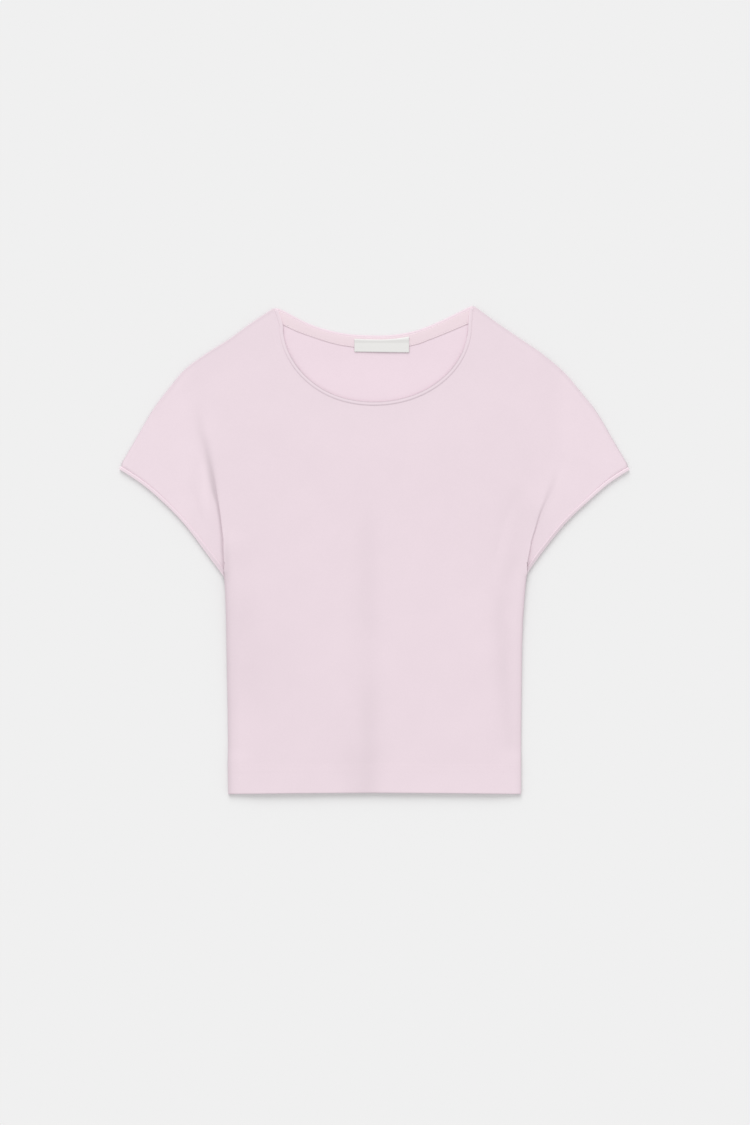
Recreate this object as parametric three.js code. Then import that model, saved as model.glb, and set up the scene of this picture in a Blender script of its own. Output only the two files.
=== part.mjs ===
// Cropped top with cap sleeves cut in one with the body, laid flat on its back, front upwards.
// Millimetres. +X runs to the right of the front, +Y from the hem to the neck, +Z up from the surface.
// Heights in the tables count from the hem; the finished group is moved so that its origin lies on
// the surface under the middle of the outline.
import * as THREE from 'three';

// Cloth and seams
const CLOTH = 1.2;
const HEM_CLOTH = 2.2;
const HEM_TURN = 28.5;
const HEM_STEP = 3;
const HEM_BOW = 1.2;
const SEAM_GAP = 0.3;

// Rolled edges of the neck and the sleeve openings
const ROLL_WIDTH = 4.2;
const NECK_ROLL_HEIGHT = 2.6;
const SLEEVE_ROLL_HEIGHT = 2.0;
const SLEEVE_ROLL_GAP = 0.3;
// Room for the straight stretches that stand in for a curve between two points
const SLEEVE_CHORD = 0.1;
const NECK_CHORD = 0.35;
const SLEEVE_INSET = ROLL_WIDTH + SEAM_GAP + SLEEVE_CHORD;
const FRONT_NECK_INSET = ROLL_WIDTH + SEAM_GAP + NECK_CHORD;
const BACK_NECK_INSET = ROLL_WIDTH + SEAM_GAP;
const UNDERARM_CLEARANCE = 0.8;

// Front neck opening, half an ellipse hanging from the shoulders
const NECK_MIDDLE = 1;
const NECK_TOP = 445.6;
const NECK_HALF_WIDTH = 88;
const NECK_DROP = 73;
const NECK_ROLL_ENDS = {
  left: new THREE.Vector2(-92.2, 456.8),
  right: new THREE.Vector2(91.6, 458.5),
};

// Tape and label inside the back neck
const TAPE_CLOTH = 1.0;
const LABEL_CLOTH = 1.0;
const LABEL = { left: -19, right: 32.8, bottomLeft: 420.2, bottomRight: 419.4 };

// Loose air between the front and the back, and how far in from an edge it takes to rise
const PUFF = 1.0;
const PUFF_REACH = 32;
const CREASE_EDGE_REACH = 10;
const CREASE_FADE = 0.35;

// Side edges of the body, left and right, by height
const SIDES = [
  { y: 0, left: -139.2, right: 139.7 },
  { y: 27, left: -140.1, right: 139.7 },
  { y: 89, left: -140.6, right: 139.8 },
  { y: 165, left: -142.0, right: 141.5 },
  { y: 194, left: -142.9, right: 143.5 },
  { y: 208, left: -143.4, right: 144.6 },
  { y: 220, left: -142.9, right: 146.0 },
];

// Folded edge over each underarm, where the body lies over its sleeve, by height
const ARM_FOLDS = [
  { y: 220, left: -142.9, right: 146.0 },
  { y: 240, left: -141.8, right: 149.6 },
  { y: 266, left: -145.0, right: 157.2 },
  { y: 296, left: -150.6, right: 169.0 },
  { y: 327, left: -158.2, right: 177.5 },
  { y: 368, left: -167.7, right: 180.5 },
  { y: 403, left: -178.0, right: 178.0 },
];

// Sleeve hems from the tip of each cap to the underarm
const SLEEVE_HEMS = [
  { leftX: -242.3, leftY: 309.2, rightX: 242.3, rightY: 308.3 },
  { leftX: -220.9, leftY: 294.8, rightX: 222.6, rightY: 295.7 },
  { leftX: -200.6, leftY: 276.5, rightX: 200.3, rightY: 277.0 },
  { leftX: -180.3, leftY: 255.3, rightX: 180.0, rightY: 257.3 },
  { leftX: -160.1, leftY: 229.9, rightX: 159.8, rightY: 231.9 },
  { leftX: -141.5, leftY: 204.4, rightX: 142.6, rightY: 206.4 },
];

// Shoulder seams from the neck to the tip of each cap
const SHOULDERS = [
  { leftX: -96.2, leftY: 461.0, rightX: 94.6, rightY: 463.2 },
  { leftX: -117.8, leftY: 446.5, rightX: 117.3, rightY: 446.5 },
  { leftX: -138.7, leftY: 431.3, rightX: 139.7, rightY: 431.3 },
  { leftX: -160.0, leftY: 417.8, rightX: 160.0, rightY: 417.2 },
  { leftX: -180.0, leftY: 402.8, rightX: 180.0, rightY: 400.2 },
  { leftX: -196.2, leftY: 383.8, rightX: 196.2, rightY: 381.2 },
  { leftX: -210.4, leftY: 364.8, rightX: 211.0, rightY: 362.5 },
  { leftX: -227.1, leftY: 336.3, rightX: 227.5, rightY: 334.5 },
  { leftX: -240.3, leftY: 313.6, rightX: 240.5, rightY: 312.6 },
];

// Upper edge of the back neck
const BACK_NECK = [
  { x: -87.0, y: 459.4 },
  { x: -67.0, y: 448.9 },
  { x: -49.9, y: 442.3 },
  { x: -27.1, y: 437.2 },
  { x: -4.3, y: 435.6 },
  { x: 18.5, y: 436.2 },
  { x: 41.3, y: 440.7 },
  { x: 64.1, y: 449.9 },
  { x: 86.6, y: 460.9 },
];

// Lower edge of the tape inside the back neck
const TAPE_LOWER = [
  { x: -86.2, y: 445.5 },
  { x: -70.8, y: 438.4 },
  { x: -42.3, y: 428.9 },
  { x: -23.3, y: 425.1 },
  { x: 3.3, y: 422.8 },
  { x: 34.7, y: 425.9 },
  { x: 52.7, y: 431.8 },
  { x: 71.7, y: 439.4 },
  { x: 88.2, y: 446.4 },
];

// How the cloth folds over each underarm: the overlap there and the height where the fold dies out.
// Upwards the bend opens slowly at first, and the overlap shortens fast.
const FOLD_RADIUS = 0.85;
const FOLD_OPENING = 2.2;
const OVERLAP_LOSS = 4;
const FOLD_REACH = 32;
const FOLD_RISE_START = 166;
const FOLD_RISE_END = 206;
const SLEEVE_SETTLING = 20;
const FOLDS = {
  left: { overlap: 9, vanish: 380 },
  right: { overlap: 6.5, vanish: 324 },
};

// Soft troughs (depth above zero) and ridges (below zero) in the front:
// two ends, sideways bow at the middle, half-width and depth
const CREASES = [
  { x0: -4, y0: 300, x1: -8, y1: 2, bow: 5, width: 13, depth: 1.0 },
  { x0: 20, y0: 170, x1: 14, y1: 6, bow: 2, width: 14, depth: -0.5 },
  { x0: -32, y0: 160, x1: -34, y1: 6, bow: -2, width: 14, depth: -0.5 },
  { x0: 142, y0: 300, x1: 118, y1: 186, bow: 6, width: 8, depth: 0.8 },
  { x0: 117, y0: 205, x1: 130, y1: 62, bow: -4, width: 9, depth: 0.8 },
  { x0: -128, y0: 196, x1: -122, y1: 52, bow: 4, width: 12, depth: 0.8 },
  { x0: -171, y0: 348, x1: -158, y1: 252, bow: 3, width: 6, depth: -1.0 },
  { x0: -178, y0: 300, x1: -163, y1: 246, bow: 2, width: 6, depth: 0.5 },
  { x0: -112, y0: 440, x1: -190, y1: 372, bow: 6, width: 11, depth: 0.6 },
];

// Heights of the rows of the body, closest together in the hem and over the underarms
const BODY_ROWS = [0, 3, 9, 18, 26.5, 30.5, 42, 60, 80, 101, 122, 143, 160, 174, 186, 197, 208];
const FOLD_ROWS = [220, 226, 234, 244, 256, 270, 286, 304, 323, 343, 364, 384, 403];
const SHOULDER_COLUMNS = 5;
const NECK_COLUMNS = 22;
const NECK_START = 0.75;
const NECK_SPREAD = 110;
const ROW_STRAIGHTNESS = 2.4;
const SLEEVE_COLUMNS = 7;
const SPLIT_STEPS = 400;
const BEND_STEPS = 4;
const EDGE_SAMPLES = 14;
const ROLL_SIDES = 8;
const NECK_ROLL_STEPS = 32;
const SLEEVE_ROLL_STEPS = 13;
const ROLL_SQUARENESS = 0.75;
const LABEL_COLUMNS = 6;
const LABEL_SAMPLES = 120;

const CLOTH_COLOUR = 0xecdbe3;
const INSIDE_COLOUR = 0xefdce4;
const LABEL_COLOUR = 0xf0eeea;

function smooth(t) {
  const s = Math.min(Math.max(t, 0), 1);
  return s * s * (3 - 2 * s);
}

function atHeight(table, side, y) {
  let row = 0;
  while (row < table.length - 2 && y > table[row + 1].y) {
    row += 1;
  }
  const low = table[row];
  const high = table[row + 1];
  return THREE.MathUtils.mapLinear(y, low.y, high.y, low[side], high[side]);
}

function curveThrough(points) {
  return new THREE.SplineCurve(points.map(([x, y]) => new THREE.Vector2(x, y)));
}

function sideCurve(table, side) {
  return curveThrough(table.map((row) => [row[`${side}X`], row[`${side}Y`]]));
}

function spread(curve, count) {
  return Array.from({ length: count + 1 }, (_, i) => curve.getPointAt(i / count));
}

// Points moved sideways from a run of points, to the left of its direction when the shift is positive
function offset(points, shift) {
  return points.map((point, i) => {
    const before = points[Math.max(i - 1, 0)];
    const after = points[Math.min(i + 1, points.length - 1)];
    const along = after.clone().sub(before).normalize();
    return new THREE.Vector2(point.x - along.y * shift, point.y + along.x * shift);
  });
}

const mirrorSign = { left: -1, right: 1 };
const sleeveHem = { left: sideCurve(SLEEVE_HEMS, 'left'), right: sideCurve(SLEEVE_HEMS, 'right') };
const shoulder = { left: sideCurve(SHOULDERS, 'left'), right: sideCurve(SHOULDERS, 'right') };
const backNeck = curveThrough(BACK_NECK.map((p) => [p.x, p.y]));
const backNeckPoints = spread(backNeck, NECK_COLUMNS - 2);

// Edge of the panels along a sleeve opening, inside its rolled edge, from the underarm to the tip
function sleevePanelEdge(side, rows) {
  const hem = spread(sleeveHem[side], rows);
  const edge = offset(hem, -mirrorSign[side] * SLEEVE_INSET);
  edge[0] = shoulder[side].getPoint(1);
  return edge.reverse();
}

function neckPoint(angle, outward) {
  return new THREE.Vector2(
    NECK_MIDDLE - (NECK_HALF_WIDTH + outward) * Math.cos(angle),
    NECK_TOP - (NECK_DROP + outward) * Math.sin(angle),
  );
}

// Outline pieces that the front's loose air dies away towards
function frontEdges() {
  const sides = ['left', 'right'].flatMap((side) => [
    SIDES.slice(0, -1).map((row) => new THREE.Vector2(row[side], row.y)),
    spread(sleeveHem[side], EDGE_SAMPLES),
    spread(shoulder[side], EDGE_SAMPLES),
  ]);
  const hem = [new THREE.Vector2(SIDES[0].left, 0), new THREE.Vector2(SIDES[0].right, 0)];
  const neck = Array.from({ length: EDGE_SAMPLES + 1 }, (_, i) => (
    neckPoint((i * Math.PI) / EDGE_SAMPLES, FRONT_NECK_INSET)));
  return [...sides, hem, neck];
}

const edges = frontEdges();

function edgeDistance(x, y) {
  const point = new THREE.Vector3(x, y, 0);
  const nearest = new THREE.Vector3();
  let best = Infinity;
  for (const run of edges) {
    for (let i = 1; i < run.length; i += 1) {
      const start = new THREE.Vector3(run[i - 1].x, run[i - 1].y, 0);
      const end = new THREE.Vector3(run[i].x, run[i].y, 0);
      new THREE.Line3(start, end).closestPointToPoint(point, true, nearest);
      best = Math.min(best, nearest.distanceTo(point));
    }
  }
  return best;
}

// Depth of the soft troughs at a point: each fades at its ends and across its width
function creaseDepth(x, y) {
  let total = 0;
  for (const crease of CREASES) {
    const dx = crease.x1 - crease.x0;
    const dy = crease.y1 - crease.y0;
    const length = Math.hypot(dx, dy);
    const along = ((x - crease.x0) * dx + (y - crease.y0) * dy) / length ** 2;
    if (along > 0 && along < 1) {
      const bow = crease.bow * 4 * along * (1 - along);
      const across = ((x - crease.x0) * dy - (y - crease.y0) * dx) / length - bow;
      const fade = smooth(Math.min(along, 1 - along) / CREASE_FADE);
      total += crease.depth * fade * Math.exp(-((across / crease.width) ** 2));
    }
  }
  return total;
}

// The fold over an underarm at a height: how far it turns, its straight run and its full rise
function foldAt(side, y) {
  const { overlap, vanish } = FOLDS[side];
  const start = FOLD_ROWS[0];
  if (y < start) {
    const rise = 4 * FOLD_RADIUS * smooth((y - FOLD_RISE_START) / (FOLD_RISE_END - FOLD_RISE_START));
    return { turn: 0, run: 0, rise };
  }
  const s = Math.min((y - start) / (vanish - start), 1);
  const turn = Math.PI * (1 - s ** FOLD_OPENING);
  const run = overlap * (1 - s) ** OVERLAP_LOSS;
  const rise = 2 * FOLD_RADIUS * (1 - Math.cos(turn)) + run * Math.sin(turn);
  return { turn, run, rise };
}

function foldEdge(side, y) {
  const table = y < FOLD_ROWS[0] ? SIDES : ARM_FOLDS;
  return atHeight(table, side, y);
}

function hemShare(y) {
  return 1 - smooth((y - HEM_TURN) / HEM_STEP);
}

function clothAt(y) {
  return CLOTH + (HEM_CLOTH - CLOTH) * hemShare(y);
}

// Middle height of the front's wall where it lies closest on the back
function frontBase(y) {
  return clothAt(y) + SEAM_GAP + clothAt(y) / 2;
}

function looseLift(x, y) {
  const air = PUFF * smooth(edgeDistance(x, y) / PUFF_REACH);
  const edgeShare = smooth(edgeDistance(x, y) / CREASE_EDGE_REACH);
  return Math.max(air - creaseDepth(x, y) * edgeShare, 0);
}

function bodyLift(x, y) {
  let lift = looseLift(x, y);
  for (const side of ['left', 'right']) {
    const inward = Math.abs(x - foldEdge(side, y));
    lift += foldAt(side, y).rise * (1 - smooth(inward / FOLD_REACH));
  }
  return lift;
}

// Points of a four-sided patch blended from its edges; u and v hold the edges' blending shares
function patch(bottom, top, left, right, u, v) {
  return v.map((vj, j) => u.map((ui, i) => {
    const cornerX = (1 - ui) * ((1 - vj) * bottom[0].x + vj * top[0].x)
      + ui * ((1 - vj) * bottom.at(-1).x + vj * top.at(-1).x);
    const cornerY = (1 - ui) * ((1 - vj) * bottom[0].y + vj * top[0].y)
      + ui * ((1 - vj) * bottom.at(-1).y + vj * top.at(-1).y);
    return new THREE.Vector2(
      (1 - vj) * bottom[i].x + vj * top[i].x + (1 - ui) * left[j].x + ui * right[j].x - cornerX,
      (1 - vj) * bottom[i].y + vj * top[i].y + (1 - ui) * left[j].y + ui * right[j].y - cornerY,
    );
  }));
}

// A sheet of joined grids whose shared points are kept once
class Sheet {
  constructor() {
    this.points = [];
    this.faces = [];
    this.known = new Map();
  }

  point(p) {
    const key = [p.x, p.y, p.z].map((value) => value.toFixed(3)).join(' ');
    if (!this.known.has(key)) {
      this.known.set(key, this.points.length);
      this.points.push(p);
    }
    return this.known.get(key);
  }

  grid(rows) {
    const index = rows.map((row) => row.map((p) => this.point(p)));
    for (let j = 1; j < index.length; j += 1) {
      for (let i = 1; i < index[j].length; i += 1) {
        const [a, b, c, d] = [index[j - 1][i - 1], index[j - 1][i], index[j][i], index[j][i - 1]];
        this.face(a, b, c);
        this.face(a, c, d);
      }
    }
  }

  face(a, b, c) {
    if (a !== b && b !== c && c !== a) {
      this.faces.push([a, b, c]);
    }
  }

  normals() {
    const sums = this.points.map(() => new THREE.Vector3());
    for (const [a, b, c] of this.faces) {
      const ab = this.points[b].clone().sub(this.points[a]);
      const ac = this.points[c].clone().sub(this.points[a]);
      const normal = ab.cross(ac).normalize();
      for (const corner of [a, b, c]) {
        sums[corner].add(normal);
      }
    }
    return sums.map((sum) => sum.normalize());
  }

  // Closed wall around the sheet: both sides and a rim along every free edge
  wall(thickness, directions) {
    const count = this.points.length;
    const positions = [];
    for (const sign of [1, -1]) {
      this.points.forEach((p, i) => {
        const shift = (sign * thickness(p)) / 2;
        positions.push(...p.clone().addScaledVector(directions[i], shift).toArray());
      });
    }
    const index = [];
    const free = new Map();
    for (const [a, b, c] of this.faces) {
      index.push(a, b, c, a + count, c + count, b + count);
      for (const [from, to] of [[a, b], [b, c], [c, a]]) {
        if (!free.delete(`${to} ${from}`)) {
          free.set(`${from} ${to}`, [from, to]);
        }
      }
    }
    for (const [from, to] of free.values()) {
      index.push(from, from + count, to + count, from, to + count, to);
    }
    const geometry = new THREE.BufferGeometry();
    geometry.setAttribute('position', new THREE.Float32BufferAttribute(positions, 3));
    geometry.setIndex(index);
    return geometry;
  }
}

function shares(values) {
  const first = values[0];
  const last = values.at(-1);
  return values.map((value) => (value - first) / (last - first));
}

// Places of the body's columns along the hem: even under the shoulders, then drawn in like the neck
function hemColumns() {
  const xs = [];
  for (let i = 0; i < SHOULDER_COLUMNS; i += 1) {
    xs.push(THREE.MathUtils.lerp(SIDES[0].left, -NECK_SPREAD, i / SHOULDER_COLUMNS));
  }
  for (let i = 0; i <= NECK_COLUMNS; i += 1) {
    const even = 2 * (i / NECK_COLUMNS) - 1;
    const drawn = -Math.cos((i * Math.PI) / NECK_COLUMNS);
    xs.push(NECK_SPREAD * (even + drawn) / 2);
  }
  for (let i = 1; i <= SHOULDER_COLUMNS; i += 1) {
    xs.push(THREE.MathUtils.lerp(NECK_SPREAD, SIDES[0].right, i / SHOULDER_COLUMNS));
  }
  return xs;
}

// Points along a shoulder seam: the body's stretch, from the armhole to the neck, and the sleeve's
// stretch, from the armhole to the tip
function shoulderPoints(side) {
  const curve = shoulder[side];
  const armhole = new THREE.Vector2(ARM_FOLDS.at(-1)[side], ARM_FOLDS.at(-1).y);
  const distanceAt = (step) => curve.getPointAt(step / SPLIT_STEPS).distanceTo(armhole);
  const steps = Array.from({ length: SPLIT_STEPS + 1 }, (_, step) => step);
  const nearest = steps.reduce((best, step) => (distanceAt(step) < distanceAt(best) ? step : best));
  const split = nearest / SPLIT_STEPS;
  const body = Array.from({ length: SHOULDER_COLUMNS + 1 }, (_, i) => (
    curve.getPointAt(split * (1 - i / SHOULDER_COLUMNS))));
  const sleeve = Array.from({ length: SLEEVE_COLUMNS + 1 }, (_, i) => (
    curve.getPointAt(split + (1 - split) * (i / SLEEVE_COLUMNS))));
  return { body, sleeve };
}

const shoulderRuns = { left: shoulderPoints('left'), right: shoulderPoints('right') };

function frontNeckEdge() {
  const start = shoulderRuns.left.body.at(-1);
  const end = shoulderRuns.right.body.at(-1);
  const points = [];
  for (let i = 1; i < NECK_COLUMNS; i += 1) {
    const angle = ((i - NECK_START) * Math.PI) / (NECK_COLUMNS - 2 * NECK_START);
    points.push(neckPoint(angle, FRONT_NECK_INSET));
  }
  return [start, ...points, end];
}

function backNeckEdge() {
  const start = shoulderRuns.left.body.at(-1);
  const end = shoulderRuns.right.body.at(-1);
  return [start, ...offset(backNeckPoints, -BACK_NECK_INSET), end];
}

function topEdge(neckEdge) {
  const left = shoulderRuns.left.body.slice(0, -1);
  const right = shoulderRuns.right.body.slice(0, -1).reverse();
  return [...left, ...neckEdge, ...right];
}

// The hem's middle lies a little higher than its corners
function hemEdge() {
  const reach = SIDES[0].right;
  return hemColumns().map((x) => new THREE.Vector2(x, HEM_BOW * Math.max(1 - (x / reach) ** 2, 0)));
}

// Section of the cloth through an underarm fold, from the body's side of it to the sleeve's side.
// Each entry is a distance outwards from the fold's start and a fall below it.
function foldSection(fold) {
  const section = [];
  const radius = FOLD_RADIUS;
  for (let i = 0; i <= BEND_STEPS; i += 1) {
    const angle = (fold.turn * i) / BEND_STEPS;
    section.push([radius * Math.sin(angle), radius * (1 - Math.cos(angle))]);
  }
  const [outEnd, fallEnd] = section.at(-1);
  const outStart = outEnd + fold.run * Math.cos(fold.turn);
  const fallStart = fallEnd + fold.run * Math.sin(fold.turn);
  section.push([(outEnd + outStart) / 2, (fallEnd + fallStart) / 2]);
  for (let i = 0; i <= BEND_STEPS; i += 1) {
    const angle = fold.turn * (1 - i / BEND_STEPS);
    const out = outStart + radius * (Math.sin(fold.turn) - Math.sin(angle));
    const fall = fallStart + radius * (Math.cos(angle) - Math.cos(fold.turn));
    section.push([out, fall]);
  }
  return section;
}

function frontPanel() {
  const sheet = new Sheet();
  const heights = [...BODY_ROWS, ...FOLD_ROWS];
  const firstFold = BODY_ROWS.length;
  const boundary = {};
  for (const side of ['left', 'right']) {
    boundary[side] = heights.map((y) => {
      const fold = foldAt(side, y);
      const crest = FOLD_RADIUS * Math.sin(Math.min(fold.turn, Math.PI / 2));
      return new THREE.Vector2(foldEdge(side, y) - mirrorSign[side] * crest, y);
    });
    boundary[side][heights.length - 1] = shoulderRuns[side].body[0].clone();
  }
  const hem = hemEdge();
  const flat = patch(
    hem, topEdge(frontNeckEdge()), boundary.left, boundary.right,
    shares(hem.map((p) => p.x)), shares(heights).map((share) => share ** ROW_STRAIGHTNESS),
  );
  const body = flat.map((row) => row.map((p) => (
    new THREE.Vector3(p.x, p.y, frontBase(p.y) + bodyLift(p.x, p.y)))));
  sheet.grid(body);
  for (const side of ['left', 'right']) {
    const start = side === 'left' ? 0 : hem.length - 1;
    const roots = body.slice(firstFold).map((row) => row[start]);
    const rows = sleeveRows(side, roots);
    sheet.grid(side === 'left' ? rows.map((row) => row.reverse()) : rows);
  }
  return sheet.wall((p) => clothAt(p.y), sheet.normals());
}

// Rows of one front sleeve, each from the body's side of the fold to the edge of the sleeve.
// The lowest row runs slanting to the underarm corner, where the sleeve narrows to a point.
function sleeveRows(side, roots) {
  const sign = mirrorSign[side];
  const edge = sleevePanelEdge(side, FOLD_ROWS.length - 1);
  const corner = edge[0];
  const top = shoulderRuns[side].sleeve;
  return roots.map((root, j) => {
    const fold = foldAt(side, FOLD_ROWS[j]);
    const outwards = new THREE.Vector2(sign, 0);
    if (j === 0) {
      outwards.set(root.x - corner.x, root.y - corner.y);
      fold.run = outwards.length();
      outwards.normalize();
    }
    const foldPoints = foldSection(fold).map(([out, fall]) => (
      new THREE.Vector3(root.x + outwards.x * out, root.y + outwards.y * out, root.z - fall)));
    const last = foldPoints.at(-1);
    const share = j / (roots.length - 1);
    const sleevePoints = [];
    for (let k = 1; k <= SLEEVE_COLUMNS; k += 1) {
      const w = k / SLEEVE_COLUMNS;
      const chord = top[0].clone().lerp(top.at(-1), w);
      const x = THREE.MathUtils.lerp(last.x, edge[j].x, w) + (top[k].x - chord.x) * share;
      const y = THREE.MathUtils.lerp(last.y, edge[j].y, w) + (top[k].y - chord.y) * share;
      const settled = frontBase(y) + looseLift(x, y);
      const settling = smooth(Math.hypot(x - last.x, y - last.y) / SLEEVE_SETTLING);
      sleevePoints.push(new THREE.Vector3(x, y, THREE.MathUtils.lerp(last.z, settled, settling)));
    }
    return [...foldPoints, ...sleevePoints];
  });
}

function backPanel() {
  const sheet = new Sheet();
  const heights = [...BODY_ROWS.slice(0, -1), ...FOLD_ROWS];
  const firstFold = BODY_ROWS.length - 1;
  const boundary = {};
  const edge = {};
  for (const side of ['left', 'right']) {
    edge[side] = sleevePanelEdge(side, FOLD_ROWS.length - 1);
    boundary[side] = heights.map((y, j) => {
      if (j < firstFold) {
        return new THREE.Vector2(atHeight(SIDES, side, y), y);
      }
      return j === firstFold ? edge[side][0].clone() : new THREE.Vector2(foldEdge(side, y), y);
    });
    boundary[side][heights.length - 1] = shoulderRuns[side].body[0].clone();
  }
  const hem = hemEdge();
  const flat = patch(
    hem, topEdge(backNeckEdge()), boundary.left, boundary.right,
    shares(hem.map((p) => p.x)), shares(heights).map((share) => share ** ROW_STRAIGHTNESS),
  );
  const lay = (p) => new THREE.Vector3(p.x, p.y, clothAt(p.y) / 2);
  sheet.grid(flat.map((row) => row.map(lay)));
  for (const side of ['left', 'right']) {
    const start = side === 'left' ? 0 : hem.length - 1;
    const roots = flat.slice(firstFold).map((row) => row[start]);
    const top = shoulderRuns[side].sleeve;
    const rows = roots.map((root, j) => Array.from({ length: SLEEVE_COLUMNS + 1 }, (_, k) => {
      const w = k / SLEEVE_COLUMNS;
      const share = j / (roots.length - 1);
      const chord = top[0].clone().lerp(top.at(-1), w);
      const point = root.clone().lerp(edge[side][j], w);
      return lay(point.addScaledVector(top[k].clone().sub(chord), share));
    }));
    sheet.grid(side === 'left' ? rows.map((row) => row.reverse()) : rows);
  }
  return sheet.wall((p) => clothAt(p.y), sheet.points.map(() => new THREE.Vector3(0, 0, 1)));
}

// Rounded roll carried along stations, each with a middle point, a direction across and one upwards
function roll(stations, width, height, closed) {
  const positions = [];
  const index = [];
  const shape = (value) => Math.sign(value) * Math.abs(value) ** ROLL_SQUARENESS;
  for (const { middle, across, up } of stations) {
    for (let k = 0; k < ROLL_SIDES; k += 1) {
      const angle = (2 * Math.PI * (k + 0.5)) / ROLL_SIDES;
      const scale = shape(1) / shape(Math.cos(Math.PI / ROLL_SIDES));
      const a = (width / 2) * shape(Math.cos(angle)) * scale;
      const b = (height / 2) * shape(Math.sin(angle)) * scale;
      const point = middle.clone().addScaledVector(across, a).addScaledVector(up, b);
      positions.push(...point.toArray());
    }
  }
  const rings = stations.length;
  const links = closed ? rings : rings - 1;
  for (let i = 0; i < links; i += 1) {
    for (let k = 0; k < ROLL_SIDES; k += 1) {
      const a = i * ROLL_SIDES + k;
      const b = i * ROLL_SIDES + ((k + 1) % ROLL_SIDES);
      const c = ((i + 1) % rings) * ROLL_SIDES + ((k + 1) % ROLL_SIDES);
      const d = ((i + 1) % rings) * ROLL_SIDES + k;
      index.push(a, b, c, a, c, d);
    }
  }
  if (!closed) {
    const last = (rings - 1) * ROLL_SIDES;
    for (let k = 1; k < ROLL_SIDES - 1; k += 1) {
      index.push(0, k + 1, k, last, last + k, last + k + 1);
    }
  }
  const geometry = new THREE.BufferGeometry();
  geometry.setAttribute('position', new THREE.Float32BufferAttribute(positions, 3));
  geometry.setIndex(index);
  return geometry;
}

// Stations of a roll along flat points at one height; the roll's width points to the path's left
function flatStations(points, z) {
  return points.map((point, i) => {
    const before = points[Math.max(i - 1, 0)];
    const after = points[Math.min(i + 1, points.length - 1)];
    const along = after.clone().sub(before).normalize();
    return {
      middle: new THREE.Vector3(point.x, point.y, z),
      across: new THREE.Vector3(-along.y, along.x, 0),
      up: new THREE.Vector3(0, 0, 1),
    };
  });
}

function frontNeckRoll() {
  const arc = Array.from({ length: NECK_ROLL_STEPS + 1 }, (_, i) => (
    neckPoint((i * Math.PI) / NECK_ROLL_STEPS, ROLL_WIDTH / 2)));
  const path = [NECK_ROLL_ENDS.left, ...arc, NECK_ROLL_ENDS.right];
  const z = CLOTH + SEAM_GAP + NECK_ROLL_HEIGHT / 2;
  return roll(flatStations(path, z), ROLL_WIDTH, NECK_ROLL_HEIGHT, false);
}

function backNeckRoll() {
  const path = offset(backNeckPoints, -ROLL_WIDTH / 2);
  return roll(flatStations(path, NECK_ROLL_HEIGHT / 2), ROLL_WIDTH, NECK_ROLL_HEIGHT, false);
}

// One strip round a flattened sleeve opening: down the front layer from the tip to the underarm,
// round the underarm, back along the lower layer and round the tip
function sleeveRoll(side) {
  const curve = sleeveHem[side];
  const radius = (SLEEVE_ROLL_HEIGHT + SLEEVE_ROLL_GAP) / 2;
  const level = SLEEVE_ROLL_HEIGHT + SLEEVE_ROLL_GAP / 2;
  const trim = (radius + SLEEVE_ROLL_HEIGHT / 2) / curve.getLength();
  const armTrim = trim + UNDERARM_CLEARANCE / curve.getLength();
  const hem = Array.from({ length: SLEEVE_ROLL_STEPS + 1 }, (_, i) => (
    curve.getPointAt(trim + (1 - trim - armTrim) * (i / SLEEVE_ROLL_STEPS))));
  const flat = flatStations(offset(hem, (-mirrorSign[side] * ROLL_WIDTH) / 2), level);
  const turned = (station, angle) => {
    const along = new THREE.Vector3().crossVectors(station.across, station.up);
    const up = station.up.clone().multiplyScalar(Math.cos(angle));
    up.addScaledVector(along, Math.sin(angle));
    const middle = station.middle.clone().addScaledVector(up, radius);
    return { middle, across: station.across, up };
  };
  const third = Math.PI / 3;
  return roll([
    ...flat.map((station) => turned(station, 0)),
    turned(flat.at(-1), third),
    turned(flat.at(-1), 2 * third),
    ...flat.toReversed().map((station) => turned(station, Math.PI)),
    turned(flat[0], 4 * third),
    turned(flat[0], 5 * third),
  ], ROLL_WIDTH, SLEEVE_ROLL_HEIGHT, true);
}

// Curved strip lying over the back panel between an upper and a lower run of points
function strip(upper, lower, cloth, bottom) {
  const sheet = new Sheet();
  const z = bottom + cloth / 2;
  sheet.grid([lower, upper].map((run) => run.map((p) => new THREE.Vector3(p.x, p.y, z))));
  return sheet.wall(() => cloth, sheet.points.map(() => new THREE.Vector3(0, 0, 1)));
}

const TAPE_BOTTOM = CLOTH + SEAM_GAP;
const LABEL_BOTTOM = TAPE_BOTTOM + TAPE_CLOTH + SEAM_GAP;

function backNeckTape() {
  const upper = offset(backNeckPoints, -BACK_NECK_INSET);
  const lower = spread(curveThrough(TAPE_LOWER.map((p) => [p.x, p.y])), upper.length - 1);
  return strip(upper, lower, TAPE_CLOTH, TAPE_BOTTOM);
}

function neckLabel() {
  const underRoll = offset(spread(backNeck, LABEL_SAMPLES), -BACK_NECK_INSET);
  const upper = [];
  const lower = [];
  for (let i = 0; i <= LABEL_COLUMNS; i += 1) {
    const x = THREE.MathUtils.lerp(LABEL.left, LABEL.right, i / LABEL_COLUMNS);
    const next = underRoll.findIndex((p) => p.x >= x);
    const [a, b] = [underRoll[next - 1], underRoll[next]];
    upper.push(new THREE.Vector2(x, THREE.MathUtils.mapLinear(x, a.x, b.x, a.y, b.y)));
    const bottom = THREE.MathUtils.lerp(LABEL.bottomLeft, LABEL.bottomRight, i / LABEL_COLUMNS);
    lower.push(new THREE.Vector2(x, bottom));
  }
  return strip(upper, lower, LABEL_CLOTH, LABEL_BOTTOM);
}

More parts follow.
